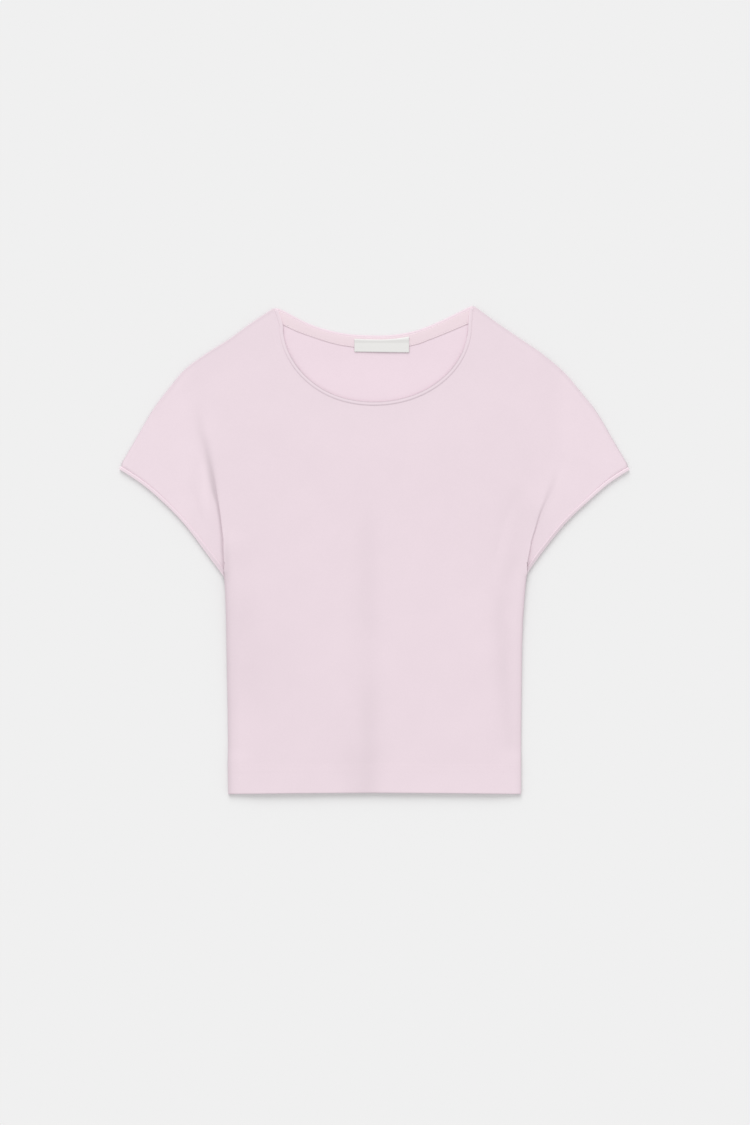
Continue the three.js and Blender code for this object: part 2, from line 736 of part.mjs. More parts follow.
const cloth = { color: CLOTH_COLOUR, roughness: 0.9, metalness: 0 };
const inside = { color: INSIDE_COLOUR, roughness: 0.9, metalness: 0 };
const satin = { color: LABEL_COLOUR, roughness: 0.5, metalness: 0 };

const PIECES = [
  { name: 'back_panel', geometry: backPanel(), finish: cloth },
  { name: 'front_panel', geometry: frontPanel(), finish: cloth },
  { name: 'neck_binding_front', geometry: frontNeckRoll(), finish: cloth },
  { name: 'neck_binding_back', geometry: backNeckRoll(), finish: cloth },
  { name: 'back_neck_tape', geometry: backNeckTape(), finish: inside },
  { name: 'neck_label', geometry: neckLabel(), finish: satin },
  { name: 'sleeve_binding_left', geometry: sleeveRoll('left'), finish: cloth },
  { name: 'sleeve_binding_right', geometry: sleeveRoll('right'), finish: cloth },
];

const garment = new THREE.Group();
garment.name = 'crop_top';
for (const { name, geometry, finish } of PIECES) {
  geometry.computeVertexNormals();
  const mesh = new THREE.Mesh(geometry, new THREE.MeshStandardMaterial(finish));
  mesh.name = name;
  garment.add(mesh);
}

const outline = new THREE.Box3().setFromObject(garment);
const middle = outline.getCenter(new THREE.Vector3());
garment.position.set(-middle.x, -middle.y, -outline.min.z);

export default garment;
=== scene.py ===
"""Cropped jersey top with cap sleeves, laid flat on its back on a white surface and seen from above.

Sizes are in millimetres. Heights on the garment (y) count from the hem, as on a cutting table, and
z from the surface; a mesh gets metres and the frame's place when it is made.
"""

import bpy
import numpy as np
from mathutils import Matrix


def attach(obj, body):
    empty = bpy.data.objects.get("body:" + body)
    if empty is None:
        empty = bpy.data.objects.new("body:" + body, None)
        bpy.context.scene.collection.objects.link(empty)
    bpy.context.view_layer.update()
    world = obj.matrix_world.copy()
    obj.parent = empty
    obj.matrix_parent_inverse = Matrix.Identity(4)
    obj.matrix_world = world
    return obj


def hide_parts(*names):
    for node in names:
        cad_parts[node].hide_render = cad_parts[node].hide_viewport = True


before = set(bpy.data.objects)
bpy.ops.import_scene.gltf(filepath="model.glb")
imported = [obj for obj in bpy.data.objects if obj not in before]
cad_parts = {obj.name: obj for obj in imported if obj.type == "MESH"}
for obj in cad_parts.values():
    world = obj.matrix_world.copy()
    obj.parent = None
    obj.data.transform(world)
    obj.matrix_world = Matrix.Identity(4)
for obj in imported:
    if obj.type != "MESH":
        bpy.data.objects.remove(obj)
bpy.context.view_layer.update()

# White surface, soft daylight and the camera.
# A matt white table top lies under the garment. Most light comes evenly from all round, and the rest
# from a wide soft window beyond the neck, a little to the left, which leaves short shadows below the
# hem and the sleeves.
SURFACE_REACH = 6.0
SURFACE_COLOUR = (0.80, 0.80, 0.80, 1)
# Scale and detail of the faint cloudiness in its roughness
SURFACE_CLOUD = (4.0, 2.0)
SKY_STRENGTH = 0.797
WINDOW_STRENGTH = 1.60
WINDOW_ELEVATION = np.radians(35)
WINDOW_WIDTH = np.radians(42)
WINDOW_TURN = np.radians(8)
VIEW_HEIGHT = 1.06875
CAMERA_HEIGHT = 5.0
CAMERA_MIDDLE = (0.0005, -0.0117)
FILM_HEIGHT = 24.0


class Number:
    """A number socket of a material; arithmetic on it adds Math nodes."""

    def __init__(self, finish, socket):
        self.finish = finish
        self.socket = socket

    def math(self, operation, *values):
        return self.finish.node("ShaderNodeMath", {"operation": operation}, dict(enumerate(values)))[0]

    def __add__(self, other):
        return self.math("ADD", self, other)

    def __sub__(self, other):
        return self.math("SUBTRACT", self, other)

    def __rsub__(self, other):
        return self.math("SUBTRACT", other, self)

    def __mul__(self, other):
        return self.math("MULTIPLY", self, other)

    __radd__ = __add__
    __rmul__ = __mul__

    def wave(self, pitch):
        """Sine that comes round once in each pitch."""
        return self.math("SINE", self * (2 * np.pi / pitch))


class Finish:
    """A material under way; node() adds one node from its type, settings and inputs."""

    def __init__(self, name):
        self.material = bpy.data.materials.new(name)
        self.material.use_nodes = True
        self.tree = self.material.node_tree
        self.tree.nodes.clear()
        self.place = self.node("ShaderNodeTexCoord")[3]

    def node(self, kind, settings=None, inputs=None):
        node = self.tree.nodes.new(kind)
        for setting, value in (settings or {}).items():
            setattr(node, setting, value)
        for key, value in (inputs or {}).items():
            if isinstance(value, Number):
                self.tree.links.new(value.socket, node.inputs[key])
            else:
                node.inputs[key].default_value = value
        return [Number(self, socket) for socket in node.outputs]

    def flat_place(self):
        return self.node("ShaderNodeSeparateXYZ", inputs={0: self.place})[:2]

    def noise(self, scale, detail, place=None):
        inputs = {"Vector": place or self.place, "Scale": scale, "Detail": detail}
        return self.node("ShaderNodeTexNoise", inputs=inputs)[0]

    def darkened(self, factor, colour, share, clamp=True):
        """Mixes a colour by a factor with a darker one, which is a share of it."""
        dark = tuple(c * share for c in colour[:3]) + (1,)
        return self.node("ShaderNodeMix", {"data_type": "RGBA", "clamp_factor": clamp},
                         {"Factor": factor, 6: colour, 7: dark})[2]

    def bump(self, strength, distance, height):
        inputs = {"Strength": strength, "Distance": distance, "Height": height}
        return self.node("ShaderNodeBump", inputs=inputs)[0]

    def surface(self, inputs):
        """Joins a Principled shader with these inputs to the material and gives the material."""
        shader = self.node("ShaderNodeBsdfPrincipled", inputs=inputs)[0]
        self.node("ShaderNodeOutputMaterial", inputs={"Surface": shader})
        return self.material


def placed(name, data):
    """Object of the scene with this data."""
    made = bpy.data.objects.new(name, data)
    bpy.context.scene.collection.objects.link(made)
    return made


board = Finish("white_surface")
bpy.ops.mesh.primitive_plane_add(size=2 * SURFACE_REACH)
surface = bpy.context.object
surface.name = "surface"
surface.data.materials.append(board.surface({
    "Base Color": SURFACE_COLOUR, "Roughness": board.noise(*SURFACE_CLOUD) * 0.1 + 0.9,
    "Specular IOR Level": 0.0}))

sky = bpy.data.worlds.new("even_light")
sky.use_nodes = True
sky_light = sky.node_tree.nodes["Background"].inputs
sky_light["Color"].default_value = (1, 1, 1, 1)
sky_light["Strength"].default_value = SKY_STRENGTH
bpy.context.scene.world = sky

window = placed("window", bpy.data.lights.new("window", "SUN"))
window.data.energy = WINDOW_STRENGTH
window.data.angle = WINDOW_WIDTH
window.rotation_euler = (WINDOW_ELEVATION - np.pi / 2, 0, WINDOW_TURN)

camera = placed("camera", bpy.data.cameras.new("camera"))
camera.data.sensor_width = FILM_HEIGHT
camera.data.lens = FILM_HEIGHT * CAMERA_HEIGHT / VIEW_HEIGHT
camera.location = (*CAMERA_MIDDLE, CAMERA_HEIGHT)
bpy.context.scene.camera = camera
bpy.context.scene.view_settings.view_transform = "Standard"

# Back panel.
# The back of the body and the lower halves of the cap sleeves are cut in one from fine cotton jersey
# with a soft peached face. It lies flat on the surface; its hem is turned up and stitched.
CLOTH = 1.2
HEM_CLOTH = 1.7
HEM_TURN = 28.5
HEM_STEP = 3.0
HEM_BOW = 1.2
SEAM_GAP = 0.3
ROLL_WIDTH = 4.2
# Shares of the way from a sleeve's tip to its underarm, and the width of the rolled edge there
SLEEVE_ROLL_WIDTHS = {
    "left": ([0, 0.6, 0.8, 0.92, 1], [3.0, 3.2, 4.2, 4.4, 4.2]),
    "right": ([0, 0.3, 0.7, 1], [3.0, 3.2, 3.0, 3.4]),
}
SLEEVE_TUCK = 0.9
# Places at which the longer and the shorter curves are read
LONG_RUN = 401
SHORT_RUN = 201
BACK_NECK_INSET = 4.5
FRAME_DROP = 231.599
FRAME_SHIFT = 0.006
SEAM_ROUND = 1.3
SEAM_THINNING = 0.6
# Share of a panel's thickness between its middle and the seam at its edge
SEAM_OFFSET = 0.42
HEM_ROUND = 1.1
HEM_EDGE_CLOTH = 0.35
JERSEY = (0.767, 0.646, 0.701, 1)
JERSEY_INSIDE = (0.800, 0.660, 0.725, 1)
SHEEN = (1.0, 0.94, 0.97, 1)
# Pitch of the wales and the courses in metres, and how far a wale sways, as a share of its pitch
WALE = 0.00062
COURSE = 0.00046
WALE_SWAY = 0.16
# Scale and detail of each noise in the cloth, and how much light it gives or takes
MOTTLE = (38.0, 3.0, 0.030)
NAP = (620.0, 4.0, 0.04)
FLECK = (1900.0, 2.0, 0.05)
# Painted shade on the inside of the back below the neck: share of light lost, and the heights from and to
# which it grows
PAINTED_INSIDE_SHADE = 0.016
INSIDE_TOP = (452.0, 412.0)
INSIDE_FOOT = (395.0, 425.0)
# Distances in from a shoulder seam, and the painted shade there, as a share of light lost
PAINTED_SHOULDER_SHADE = ([0.0, 1.2, 2.8], [0.12, 0.09, 0.0])
# Heights, and where the left and the right side or armhole fold lies there
SIDES = np.array([
    (0, -138.5, 138.9), (27, -139.0, 138.9), (51, -138.8, 139.0), (89, -139.3, 139.3),
    (137, -140.2, 139.8), (165, -140.6, 140.7), (194, -141.6, 142.9), (208, -142.8, 144.5),
    (220, -143.1, 145.3), (240, -142.8, 148.3), (266, -146.0, 156.6), (296, -151.2, 169.0),
    (327, -158.2, 177.5), (368, -167.7, 180.5), (403, -178.0, 178.0),
])
SLEEVE_HEMS = {
    "left": [(-242.6, 308.8), (-221.0, 294.6), (-200.3, 276.8), (-180.0, 255.6), (-160.3, 229.7),
             (-141.5, 204.4)],
    "right": [(242.5, 308.1), (223.0, 295.3), (201.1, 276.2), (180.9, 256.5), (160.5, 231.4),
              (142.6, 206.4)],
}
SHOULDERS = {
    "left": [(-96.2, 461.0), (-117.8, 446.5), (-138.7, 431.3), (-160.0, 417.8), (-180.0, 402.8),
             (-196.2, 383.8), (-210.4, 364.8), (-227.1, 336.3), (-240.3, 313.6)],
    "right": [(94.6, 463.2), (117.3, 446.5), (139.7, 431.3), (160.0, 417.2), (180.0, 400.2),
              (196.2, 381.2), (211.0, 362.5), (227.5, 334.5), (240.5, 312.6)],
}
BACK_NECK = [
    (-87.0, 459.4), (-67.0, 448.9), (-49.9, 442.3), (-27.1, 437.2), (-4.3, 435.6), (18.5, 436.2),
    (41.3, 440.7), (64.1, 449.9), (86.6, 460.9),
]
NECK_MIDDLE = 1.0
NECK_TOP = 445.6
NECK_HALF_WIDTH = 88.0
NECK_DROP = 73.0
BODY_HEIGHTS = np.concatenate([
    [0, 0.25, 0.7, 1.3, 2.4, 4.2], np.linspace(6.8, 25.0, 8),
    [26.4, 27.3, 27.9, 28.3, 28.7, 29.1, 29.7, 30.6, 31.8, 33.4], np.linspace(36, 212, 68),
])
FOLD_HEIGHTS = [220, 226, 234, 244, 256, 270, 286, 304, 323, 343, 364, 384, 403]
FOLD_ROWS_EACH = 6
TOP_HEIGHTS = [402.2, 402.66]
COLUMNS_EACH = 5
EDGE_COLUMNS = [0.12, 0.4]
ROW_STRAIGHTNESS = 3.5
NECK_SPREAD = 110.0
SHOULDER_INTERVALS = 5
NECK_INTERVALS = 22
SLEEVE_COLUMNS = 34
SLEEVE_CROWDING = 1.3
UNDERARM_FOOT = 201.0
UNDERARM_BOW = 1.5
SIDE_NAMES = ("left", "right")
SIDE_SIGN = {"left": -1, "right": 1}
# Steps to a millimetre; points that fall on the same step are joined
JOIN_STEPS = 500


def smooth(t):
    """Three t squared less two t cubed, with t held between 0 and 1."""
    t = np.clip(t, 0, 1)
    return t * t * (3 - 2 * t)


def ramp(value, start, end):
    """Smooth rise from 0 where the value is at the start to 1 where it is at the end."""
    return smooth((value - start) / (end - start))


def lengths_to(run):
    """Length of a run up to each of its points."""
    return np.concatenate([[0], np.cumsum(np.linalg.norm(np.diff(run, axis=0), axis=1))])


def along(run, shares):
    """Points of a run at shares of its whole length."""
    lengths = lengths_to(run)
    return np.stack([np.interp(shares, lengths / lengths[-1], axis) for axis in np.transpose(run)], axis=1)


def curve(points, count):
    """Smooth curve through points, each stretch a cubic whose slope at a point is half the step between
    its neighbours, read evenly at so many places."""
    points = np.asarray(points, float)
    t = np.linspace(0, len(points) - 1, 60 * len(points))
    start = np.minimum(t.astype(int), len(points) - 2)
    f = (t - start)[:, None]
    a, b, c, d = (points[np.clip(start + k, 0, len(points) - 1)] for k in (-1, 0, 1, 2))
    linear, square, cubic = c - a, 2 * a - 5 * b + 4 * c - d, 3 * b - a - 3 * c + d
    return along(b + (linear * f + square * f**2 + cubic * f**3) / 2, np.linspace(0, 1, count))


def beside(run, shift):
    """The run moved sideways, to the left of its direction where the shift is positive."""
    step = np.empty_like(run)
    step[1:-1] = run[2:] - run[:-2]
    step[0], step[-1] = run[1] - run[0], run[-1] - run[-2]
    step /= np.linalg.norm(step, axis=1)[:, None]
    return run + shift * np.stack([-step[:, 1], step[:, 0]], axis=1)


def distance(x, y, runs):
    """Shortest distance from each point to any stretch of the runs."""
    best = np.full(x.shape, np.inf)
    for run in runs:
        for (ax, ay), (bx, by) in zip(run[:-1], run[1:]):
            share = ((x - ax) * (bx - ax) + (y - ay) * (by - ay)) / ((bx - ax) ** 2 + (by - ay) ** 2)
            share = np.clip(share, 0, 1)
            best = np.minimum(best, np.hypot(x - ax - share * (bx - ax), y - ay - share * (by - ay)))
    return best


def shares_of(values):
    return (values - values[0]) / (values[-1] - values[0])


def finer(coarse, each):
    """Values with evenly placed ones put between them, so many to each step."""
    steps = np.linspace(0, len(coarse) - 1, (len(coarse) - 1) * each + 1)
    return np.interp(steps, np.arange(len(coarse)), coarse)


def spaced_like(run, coarse):
    """The run read where finer steps of a coarse set of points along it fall."""
    return along(run, finer(shares_of(lengths_to(coarse)), COLUMNS_EACH))


def edged(values, tight):
    """Adds places close to both ends of a row of values, at shares of its first and last step."""
    first, last = values[1] - values[0], values[-1] - values[-2]
    near = [values[0] + first * t for t in tight]
    far = [values[-1] - last * t for t in reversed(tight)]
    return np.concatenate([values[:1], near, values[1:-1], far, values[-1:]])


fold_heights = finer(FOLD_HEIGHTS, FOLD_ROWS_EACH)
fold_heights = np.concatenate([fold_heights[:-1], TOP_HEIGHTS, fold_heights[-1:]])
neck_shares = np.linspace(0, 1, NECK_INTERVALS + 1)
hem_places = np.concatenate([
    np.linspace(SIDES[0, 1], -NECK_SPREAD, SHOULDER_INTERVALS + 1)[:-1],
    NECK_SPREAD * (2 * neck_shares - 1 - np.cos(np.pi * neck_shares)) / 2,
    np.linspace(NECK_SPREAD, SIDES[0, 2], SHOULDER_INTERVALS + 1)[1:],
])
hem_places = edged(finer(hem_places, COLUMNS_EACH), EDGE_COLUMNS)
hem_line = np.stack([hem_places, HEM_BOW * np.clip(1 - (hem_places / SIDES[0, 2]) ** 2, 0, 1)], axis=1)
shoulder_lines = {side: curve(SHOULDERS[side], LONG_RUN) for side in SIDE_NAMES}
sleeve_lines = {side: curve(SLEEVE_HEMS[side], SHORT_RUN) for side in SIDE_NAMES}
back_neck_line = curve(BACK_NECK, SHORT_RUN)
sleeve_shares = np.linspace(0, 1, SLEEVE_COLUMNS + 1) ** SLEEVE_CROWDING
body_shoulders, sleeve_shoulders = {}, {}
for column, (side, line) in enumerate(shoulder_lines.items(), 1):
    armhole = np.argmin(np.hypot(*(line - SIDES[-1, [column, 0]]).T)) / (LONG_RUN - 1)
    body_shares = finer(np.linspace(armhole, 0, SHOULDER_INTERVALS + 1), COLUMNS_EACH)
    body_shares = edged(body_shares, EDGE_COLUMNS)[:-len(EDGE_COLUMNS) - 1]
    body_shoulders[side] = along(line, body_shares)
    sleeve_shoulders[side] = along(line, armhole + (1 - armhole) * sleeve_shares)
seam_runs = [shoulder_lines[side][::10] for side in SIDE_NAMES] + [
    SIDES[SIDES[:, 0] < FOLD_HEIGHTS[0]][:, [column, 0]] for column in (1, 2)]
hem_runs = [np.array([(SIDES[0, 1], 0.0), (0.0, HEM_BOW), (SIDES[0, 2], 0.0)])]


def hem_share(y, reach=HEM_STEP):
    """1 on the doubled cloth of the hem, falling to 0 over a short reach above its stitching."""
    return 1 - smooth((y - HEM_TURN) / reach)


def cloth_at(y, reach=HEM_STEP):
    return CLOTH + (HEM_CLOTH - CLOTH) * hem_share(y, reach)


def rounded(gap, radius):
    """Height of a quarter circle at a distance in from its foot, as a share of the radius."""
    return np.sqrt(1 - (1 - np.clip(gap / radius, 0, 1)) ** 2)


def rounded_edges(x, y, cloth):
    """Share of the way from a seam to a panel's full height, and the cloth's thickness, which is less
    at the seams and at the fold of the hem."""
    seam = rounded(distance(x, y, seam_runs), SEAM_ROUND)
    hem = HEM_EDGE_CLOTH + (1 - HEM_EDGE_CLOTH) * rounded(distance(x, y, hem_runs), HEM_ROUND)
    return seam, cloth * (1 - SEAM_THINNING * (1 - seam)) * hem


def lifted(grid, z):
    """Flat grid of points with heights added."""
    return np.concatenate([grid, np.broadcast_to(z, grid.shape[:2])[..., None]], axis=2)


def side_at(side, y):
    return np.interp(y, SIDES[:, 0], SIDES[:, 1 if side == "left" else 2])


def sleeve_edge(side):
    """Edge of a panel along its sleeve opening, tucked into the rolled edge, from the underarm to the
    tip."""
    shares = np.linspace(0, 1, len(fold_heights))
    inset = np.interp(shares, *SLEEVE_ROLL_WIDTHS[side])[:, None] - SLEEVE_TUCK
    edge = beside(along(sleeve_lines[side], shares), -SIDE_SIGN[side] * inset)
    edge[0] = shoulder_lines[side][-1]
    return edge[::-1]


def ending_at_shoulder(side, edge):
    """Side of a body whose uppermost rows are shifted evenly, so that the last meets the shoulder line."""
    below = FOLD_HEIGHTS[-2]
    share = np.clip((edge[:, 1:] - below) / (FOLD_HEIGHTS[-1] - below), 0, 1)
    return edge + share * (body_shoulders[side][0] - edge[-1])


def neck_top_edge(neck_run, coarse_neck):
    """Upper edge of a body from armhole to armhole: shoulder, neck and the other shoulder."""
    ends = [shoulder_lines[side][:1] for side in SIDE_NAMES]
    neck = spaced_like(np.concatenate([ends[0], neck_run, ends[1]]),
                       np.concatenate([ends[0], coarse_neck, ends[1]]))
    return np.concatenate([body_shoulders["left"], neck, body_shoulders["right"][::-1]])


def body(top, sides, heights):
    """Body of a panel between the hem, its upper edge and its sides: opposite edges are joined in
    straight lines by their shares u and v, the two answers are added and the one from the four corners
    alone is taken off."""
    u = shares_of(hem_places)[None, :, None]
    v = (shares_of(heights) ** ROW_STRAIGHTNESS)[:, None, None]
    rows = (1 - v) * hem_line[None] + v * top[None]
    columns = (1 - u) * sides["left"][:, None] + u * sides["right"][:, None]
    corners = ((1 - u) * (1 - v) * hem_line[0] + u * (1 - v) * hem_line[-1]
               + (1 - u) * v * top[0] + u * v * top[-1])
    return rows + columns - corners


def fan(roots, edge, top):
    """Rows from roots to a sleeve's edge; the upper rows take over the bow of the shoulder seam."""
    w = sleeve_shares[None, :, None]
    share = np.linspace(0, 1, len(roots))[:, None, None]
    bow = top - (top[0] + (top[-1] - top[0]) * w[0])
    return roots[:, None] * (1 - w) + edge[:, None] * w + share * bow[None]


def triangles(rows, columns, round_columns=False, round_rows=False):
    """Two corner triples for each cell of a grid of points numbered row by row; a grid may go round,
    so that its first row or column follows on its last."""
    i = np.arange(rows if round_rows else rows - 1)[:, None]
    k = np.arange(columns if round_columns else columns - 1)[None]
    ahead, turned = (i + 1) % rows, (k + 1) % columns
    a, b, c, d = ((p * columns + q).ravel() for p, q in ((i, k), (i, turned), (ahead, turned), (ahead, k)))
    return np.concatenate([np.stack([a, b, c], axis=1), np.stack([a, c, d], axis=1)])


def joined(grids):
    """One sheet from grids of points: points that meet become one, and flat slivers are left out."""
    points = np.concatenate([grid.reshape(-1, grid.shape[-1]) for grid in grids])
    start, faces = 0, []
    for grid in grids:
        faces.append(triangles(*grid.shape[:2]) + start)
        start += grid.shape[0] * grid.shape[1]
    keys = np.round(points * JOIN_STEPS).astype(np.int64)
    _, kept, number = np.unique(keys, axis=0, return_index=True, return_inverse=True)
    faces = number.ravel()[np.concatenate(faces)]
    whole = (faces[:, 0] != faces[:, 1]) & (faces[:, 1] != faces[:, 2]) & (faces[:, 2] != faces[:, 0])
    return points[kept], faces[whole]


def with_sleeves(grid, sleeve):
    """Joins the body of a panel and two sleeves, each made from its side and the rows it grows from."""
    left, right = (sleeve(side, grid[-len(fold_heights):, column])
                   for side, column in (("left", 0), ("right", -1)))
    return joined([grid, left[:, ::-1], right])


def sheet_normals(points, faces):
    """Mean of the directions that the faces round each point look in."""
    cross = np.cross(points[faces[:, 1]] - points[faces[:, 0]], points[faces[:, 2]] - points[faces[:, 0]])
    sums = np.zeros_like(points)
    for corner in range(3):
        np.add.at(sums, faces[:, corner], cross)
    return sums / np.linalg.norm(sums, axis=1)[:, None]


def cloth_wall(points, faces, thickness):
    """Closed wall round a sheet: half the thickness to each side along the normals, and a rim of two
    triangles along every free edge."""
    count = len(points)
    shift = sheet_normals(points, faces) * np.broadcast_to(thickness, count)[:, None] / 2
    edges = np.concatenate([faces[:, [0, 1]], faces[:, [1, 2]], faces[:, [2, 0]]])
    codes, back_codes = edges[:, 0] * count + edges[:, 1], edges[:, 1] * count + edges[:, 0]
    a, b = edges[~np.isin(codes, back_codes)].T
    rim = np.concatenate([np.stack([a, a + count, b + count], axis=1), np.stack([a, b + count, b], axis=1)])
    return np.concatenate([points + shift, points - shift]), np.concatenate(
        [faces, faces[:, ::-1] + count, rim])


def piece(name, points, faces, material, slot, carrier=None, stands_for=True, shade=None):
    """Puts points and corner triples into a smooth mesh in the frame's metres and place; most pieces
    stand for the solid of the same name."""
    mesh = bpy.data.meshes.new(name)
    mesh.from_pydata((points + (FRAME_SHIFT, -FRAME_DROP, 0)) / 1000, [], faces)
    mesh.polygons.foreach_set("use_smooth", np.ones(len(mesh.polygons), bool))
    # The shade attribute holds painted shading per point: painted shade, or painted light where below zero.
    if shade is not None:
        mesh.attributes.new("shade", "FLOAT", "POINT").data.foreach_set("value", shade.astype(np.float32))
    mesh.materials.append(material)
    made = placed(name, mesh)
    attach(made, "root")
    if stands_for:
        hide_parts(name)
    if carrier:
        made.parent = carrier
    return made


def jersey(name, colour, knit=1.0):
    """Fine jersey with a peached face: wales run along y and courses across, under a soft nap that
    breaks them up. Its shading attribute is painted shade in the cloth's colour along creases, folds and
    edges, and painted light where it is below zero."""
    finish = Finish(name)
    x, y = finish.flat_place()
    shade = finish.node("ShaderNodeAttribute", {"attribute_name": "shade"})[2]
    mottle, nap, fleck = (finish.noise(*noise[:2]) for noise in (MOTTLE, NAP, FLECK))
    course = y.wave(COURSE)
    wale = (x + course * (WALE * WALE_SWAY)).wave(WALE)
    loops = (wale * 0.5 + course * 0.28) * knit
    depth = shade - (mottle - 0.5) * MOTTLE[2] - (fleck - 0.5) * FLECK[2] - (nap - 0.5) * NAP[2]
    return finish.surface({
        "Base Color": finish.darkened(depth * 2.0, colour, 0.5, clamp=False),
        "Roughness": (nap - 0.5) * 0.12 + 0.9, "Specular IOR Level": 0.18,
        "Sheen Weight": 0.12, "Sheen Roughness": 0.6, "Sheen Tint": SHEEN,
        "Normal": finish.bump(0.35, 0.00012, loops * 0.45 + nap * 1.1 + fleck * 0.5),
    })


cloth_finish = jersey("peached_jersey", JERSEY)
back_finish = jersey("peached_jersey_back", JERSEY_INSIDE)

sleeve_edges = {side: sleeve_edge(side) for side in SIDE_NAMES}
lower_heights = BODY_HEIGHTS[BODY_HEIGHTS < UNDERARM_FOOT]
start, top = FOLD_HEIGHTS[0], FOLD_HEIGHTS[-1]
back_sides = {}
for side in SIDE_NAMES:
    corner_x, corner_y = sleeve_edges[side][0]
    upper_heights = top - (top - fold_heights) * (top - corner_y) / (top - start)
    share = np.clip((upper_heights - corner_y) / (start - corner_y), 0, 1)
    opening_x = corner_x + share * (side_at(side, start) - corner_x)
    opening_x = opening_x - SIDE_SIGN[side] * UNDERARM_BOW * 4 * share * (1 - share)
    above = np.where(upper_heights < start, opening_x, side_at(side, upper_heights))
    back_heights = np.concatenate([lower_heights, upper_heights])
    edge_x = np.concatenate([side_at(side, lower_heights), above])
    back_sides[side] = ending_at_shoulder(side, np.stack([edge_x, back_heights], axis=1))
back_top = neck_top_edge(beside(back_neck_line, -BACK_NECK_INSET),
                         beside(curve(BACK_NECK, NECK_INTERVALS - 1), -BACK_NECK_INSET))


def back_sleeve(side, roots):
    return lifted(fan(roots[:, :2], sleeve_edges[side], sleeve_shoulders[side]), 0.0)


back_points, back_faces = with_sleeves(lifted(body(back_top, back_sides, back_heights), 0.0), back_sleeve)
x, y = back_points[:, :2].T
seam, back_cloth = rounded_edges(x, y, cloth_at(y))
seam_height = cloth_at(y) + SEAM_GAP / 2
back_points[:, 2] = seam * cloth_at(y) / 2 + (1 - seam) * (seam_height - back_cloth * SEAM_OFFSET)
# Painted shade along the shoulder seams and on the inside of the back below the neck
back_painted_shading = (np.interp(distance(x, y, seam_runs[:2]), *PAINTED_SHOULDER_SHADE)
              + PAINTED_INSIDE_SHADE * ramp(y, *INSIDE_TOP) * ramp(y, *INSIDE_FOOT))
back_panel = piece("back_panel", *cloth_wall(back_points, back_faces, back_cloth), back_finish, "jersey",
                   shade=np.tile(back_painted_shading, 2))

# Back neck tape.
# A band of the same jersey covers the neck seam inside the back; its lower edge is turned under and
# topstitched through the back, which draws a fine furrow in it.
TAPE_CLOTH = 0.5
TAPE_GAP = 0.05
TAPE_LOWER = [
    (-91.2, 448.2), (-86.2, 445.5), (-70.8, 438.4), (-42.3, 428.9), (-23.3, 425.1), (3.3, 422.8),
    (34.7, 425.9), (52.7, 431.8), (71.7, 439.4), (88.2, 446.4), (92.0, 448.2),
]
TAPE_TOP_INSET = 2.0
BACK_ROLL_POINTS = [(-94.6, 461.6), *BACK_NECK, (93.2, 463.7)]
TAPE_COLUMNS = 160
TAPE_ROWS = np.array([0, 0.03, 0.07, 0.13, 0.2, 0.3, 0.45, 0.6, 0.68, 0.74, 0.8, 0.88, 0.94, 1.0])
TAPE_CLIMB = 0.62
# Share of the way up the tape where its climb on to the neck seam ends
TAPE_CLIMB_END = 0.86
# The tape's colour is the jersey's with painted light: made lighter against the shade where its climb faces
# away from the window
TAPE_JERSEY_AND_PAINTED_LIGHT = (0.815, 0.677, 0.722, 1)
TAPE_FURROW = 0.10
TAPE_STITCH_SHARE = 0.13
# Shares of the tape's width over which the furrow and the ripple of its lower edge die away
FURROW_REACH = 0.035
RIPPLE_REACH = 0.3
TAPE_RIPPLE = 0.04
RIPPLE_TURN = 1.9
TAPE_WIDTH = 14.0
TAPE_EDGE_ROUND = 0.9
TAPE_EDGE_DROP = 0.12

tape_upper = beside(curve(BACK_ROLL_POINTS, TAPE_COLUMNS), -TAPE_TOP_INSET)
tape_lower = curve(TAPE_LOWER, TAPE_COLUMNS)
rows = TAPE_ROWS[:, None, None]
tape_flat = tape_lower[None] * (1 - rows) + tape_upper[None] * rows
rows = TAPE_ROWS[:, None]
furrow = TAPE_FURROW * np.exp(-(((rows - TAPE_STITCH_SHARE) / FURROW_REACH) ** 2))
ripple = TAPE_RIPPLE * np.sin(np.arange(TAPE_COLUMNS) * RIPPLE_TURN) * np.exp(-((rows / RIPPLE_REACH) ** 2))
edge_drop = TAPE_EDGE_DROP * (1 - rounded(rows * TAPE_WIDTH, TAPE_EDGE_ROUND))
climb = TAPE_CLIMB * smooth(rows / TAPE_CLIMB_END)
tape_top = CLOTH + TAPE_GAP + TAPE_CLOTH
tape_z = tape_top - TAPE_CLOTH / 2 + climb - furrow + ripple - edge_drop
piece("back_neck_tape", *cloth_wall(*joined([lifted(tape_flat, tape_z)]), TAPE_CLOTH),
      jersey("tape_jersey", TAPE_JERSEY_AND_PAINTED_LIGHT), "tape", back_panel)

# Neck label.
# A strip of off-white woven satin with both ends turned under, caught along its upper edge in the
# back neck seam. It is left plain.
LABEL_CLOTH = 0.5
LABEL_LEFT = -19.0
LABEL_RIGHT = 32.8
LABEL_BOTTOM = (420.2, 419.4)
LABEL_COLUMNS = 70
LABEL_ROWS = 26
# Width of the turned-under ends, the reach of their soft step, and how much they lift the label
LABEL_TURN = 3.6
LABEL_TURN_REACH = 1.6
LABEL_TURN_LIFT = 0.12
LABEL_TUCK = 0.35
LABEL_TUCK_FROM = 0.9
LABEL_TOP_SHIFT = 0.6
# Radii of its rounded ends and lower edge, and how far the edges drop
LABEL_ROUND = (0.8, 0.5)
LABEL_EDGE_DROP = 0.15
LABEL_WAVE = 0.10
# Heights on the garment, and how far the label's underside lies above the lower part of the tape
LABEL_LIE = [(419.5, 0.05), (425.0, 0.15), (428.5, 0.2), (431.5, 0.82)]
SATIN = (0.765, 0.757, 0.742, 1)
SATIN_STRETCH = (260.0, 2600.0, 400.0)
WEFT = 0.0011


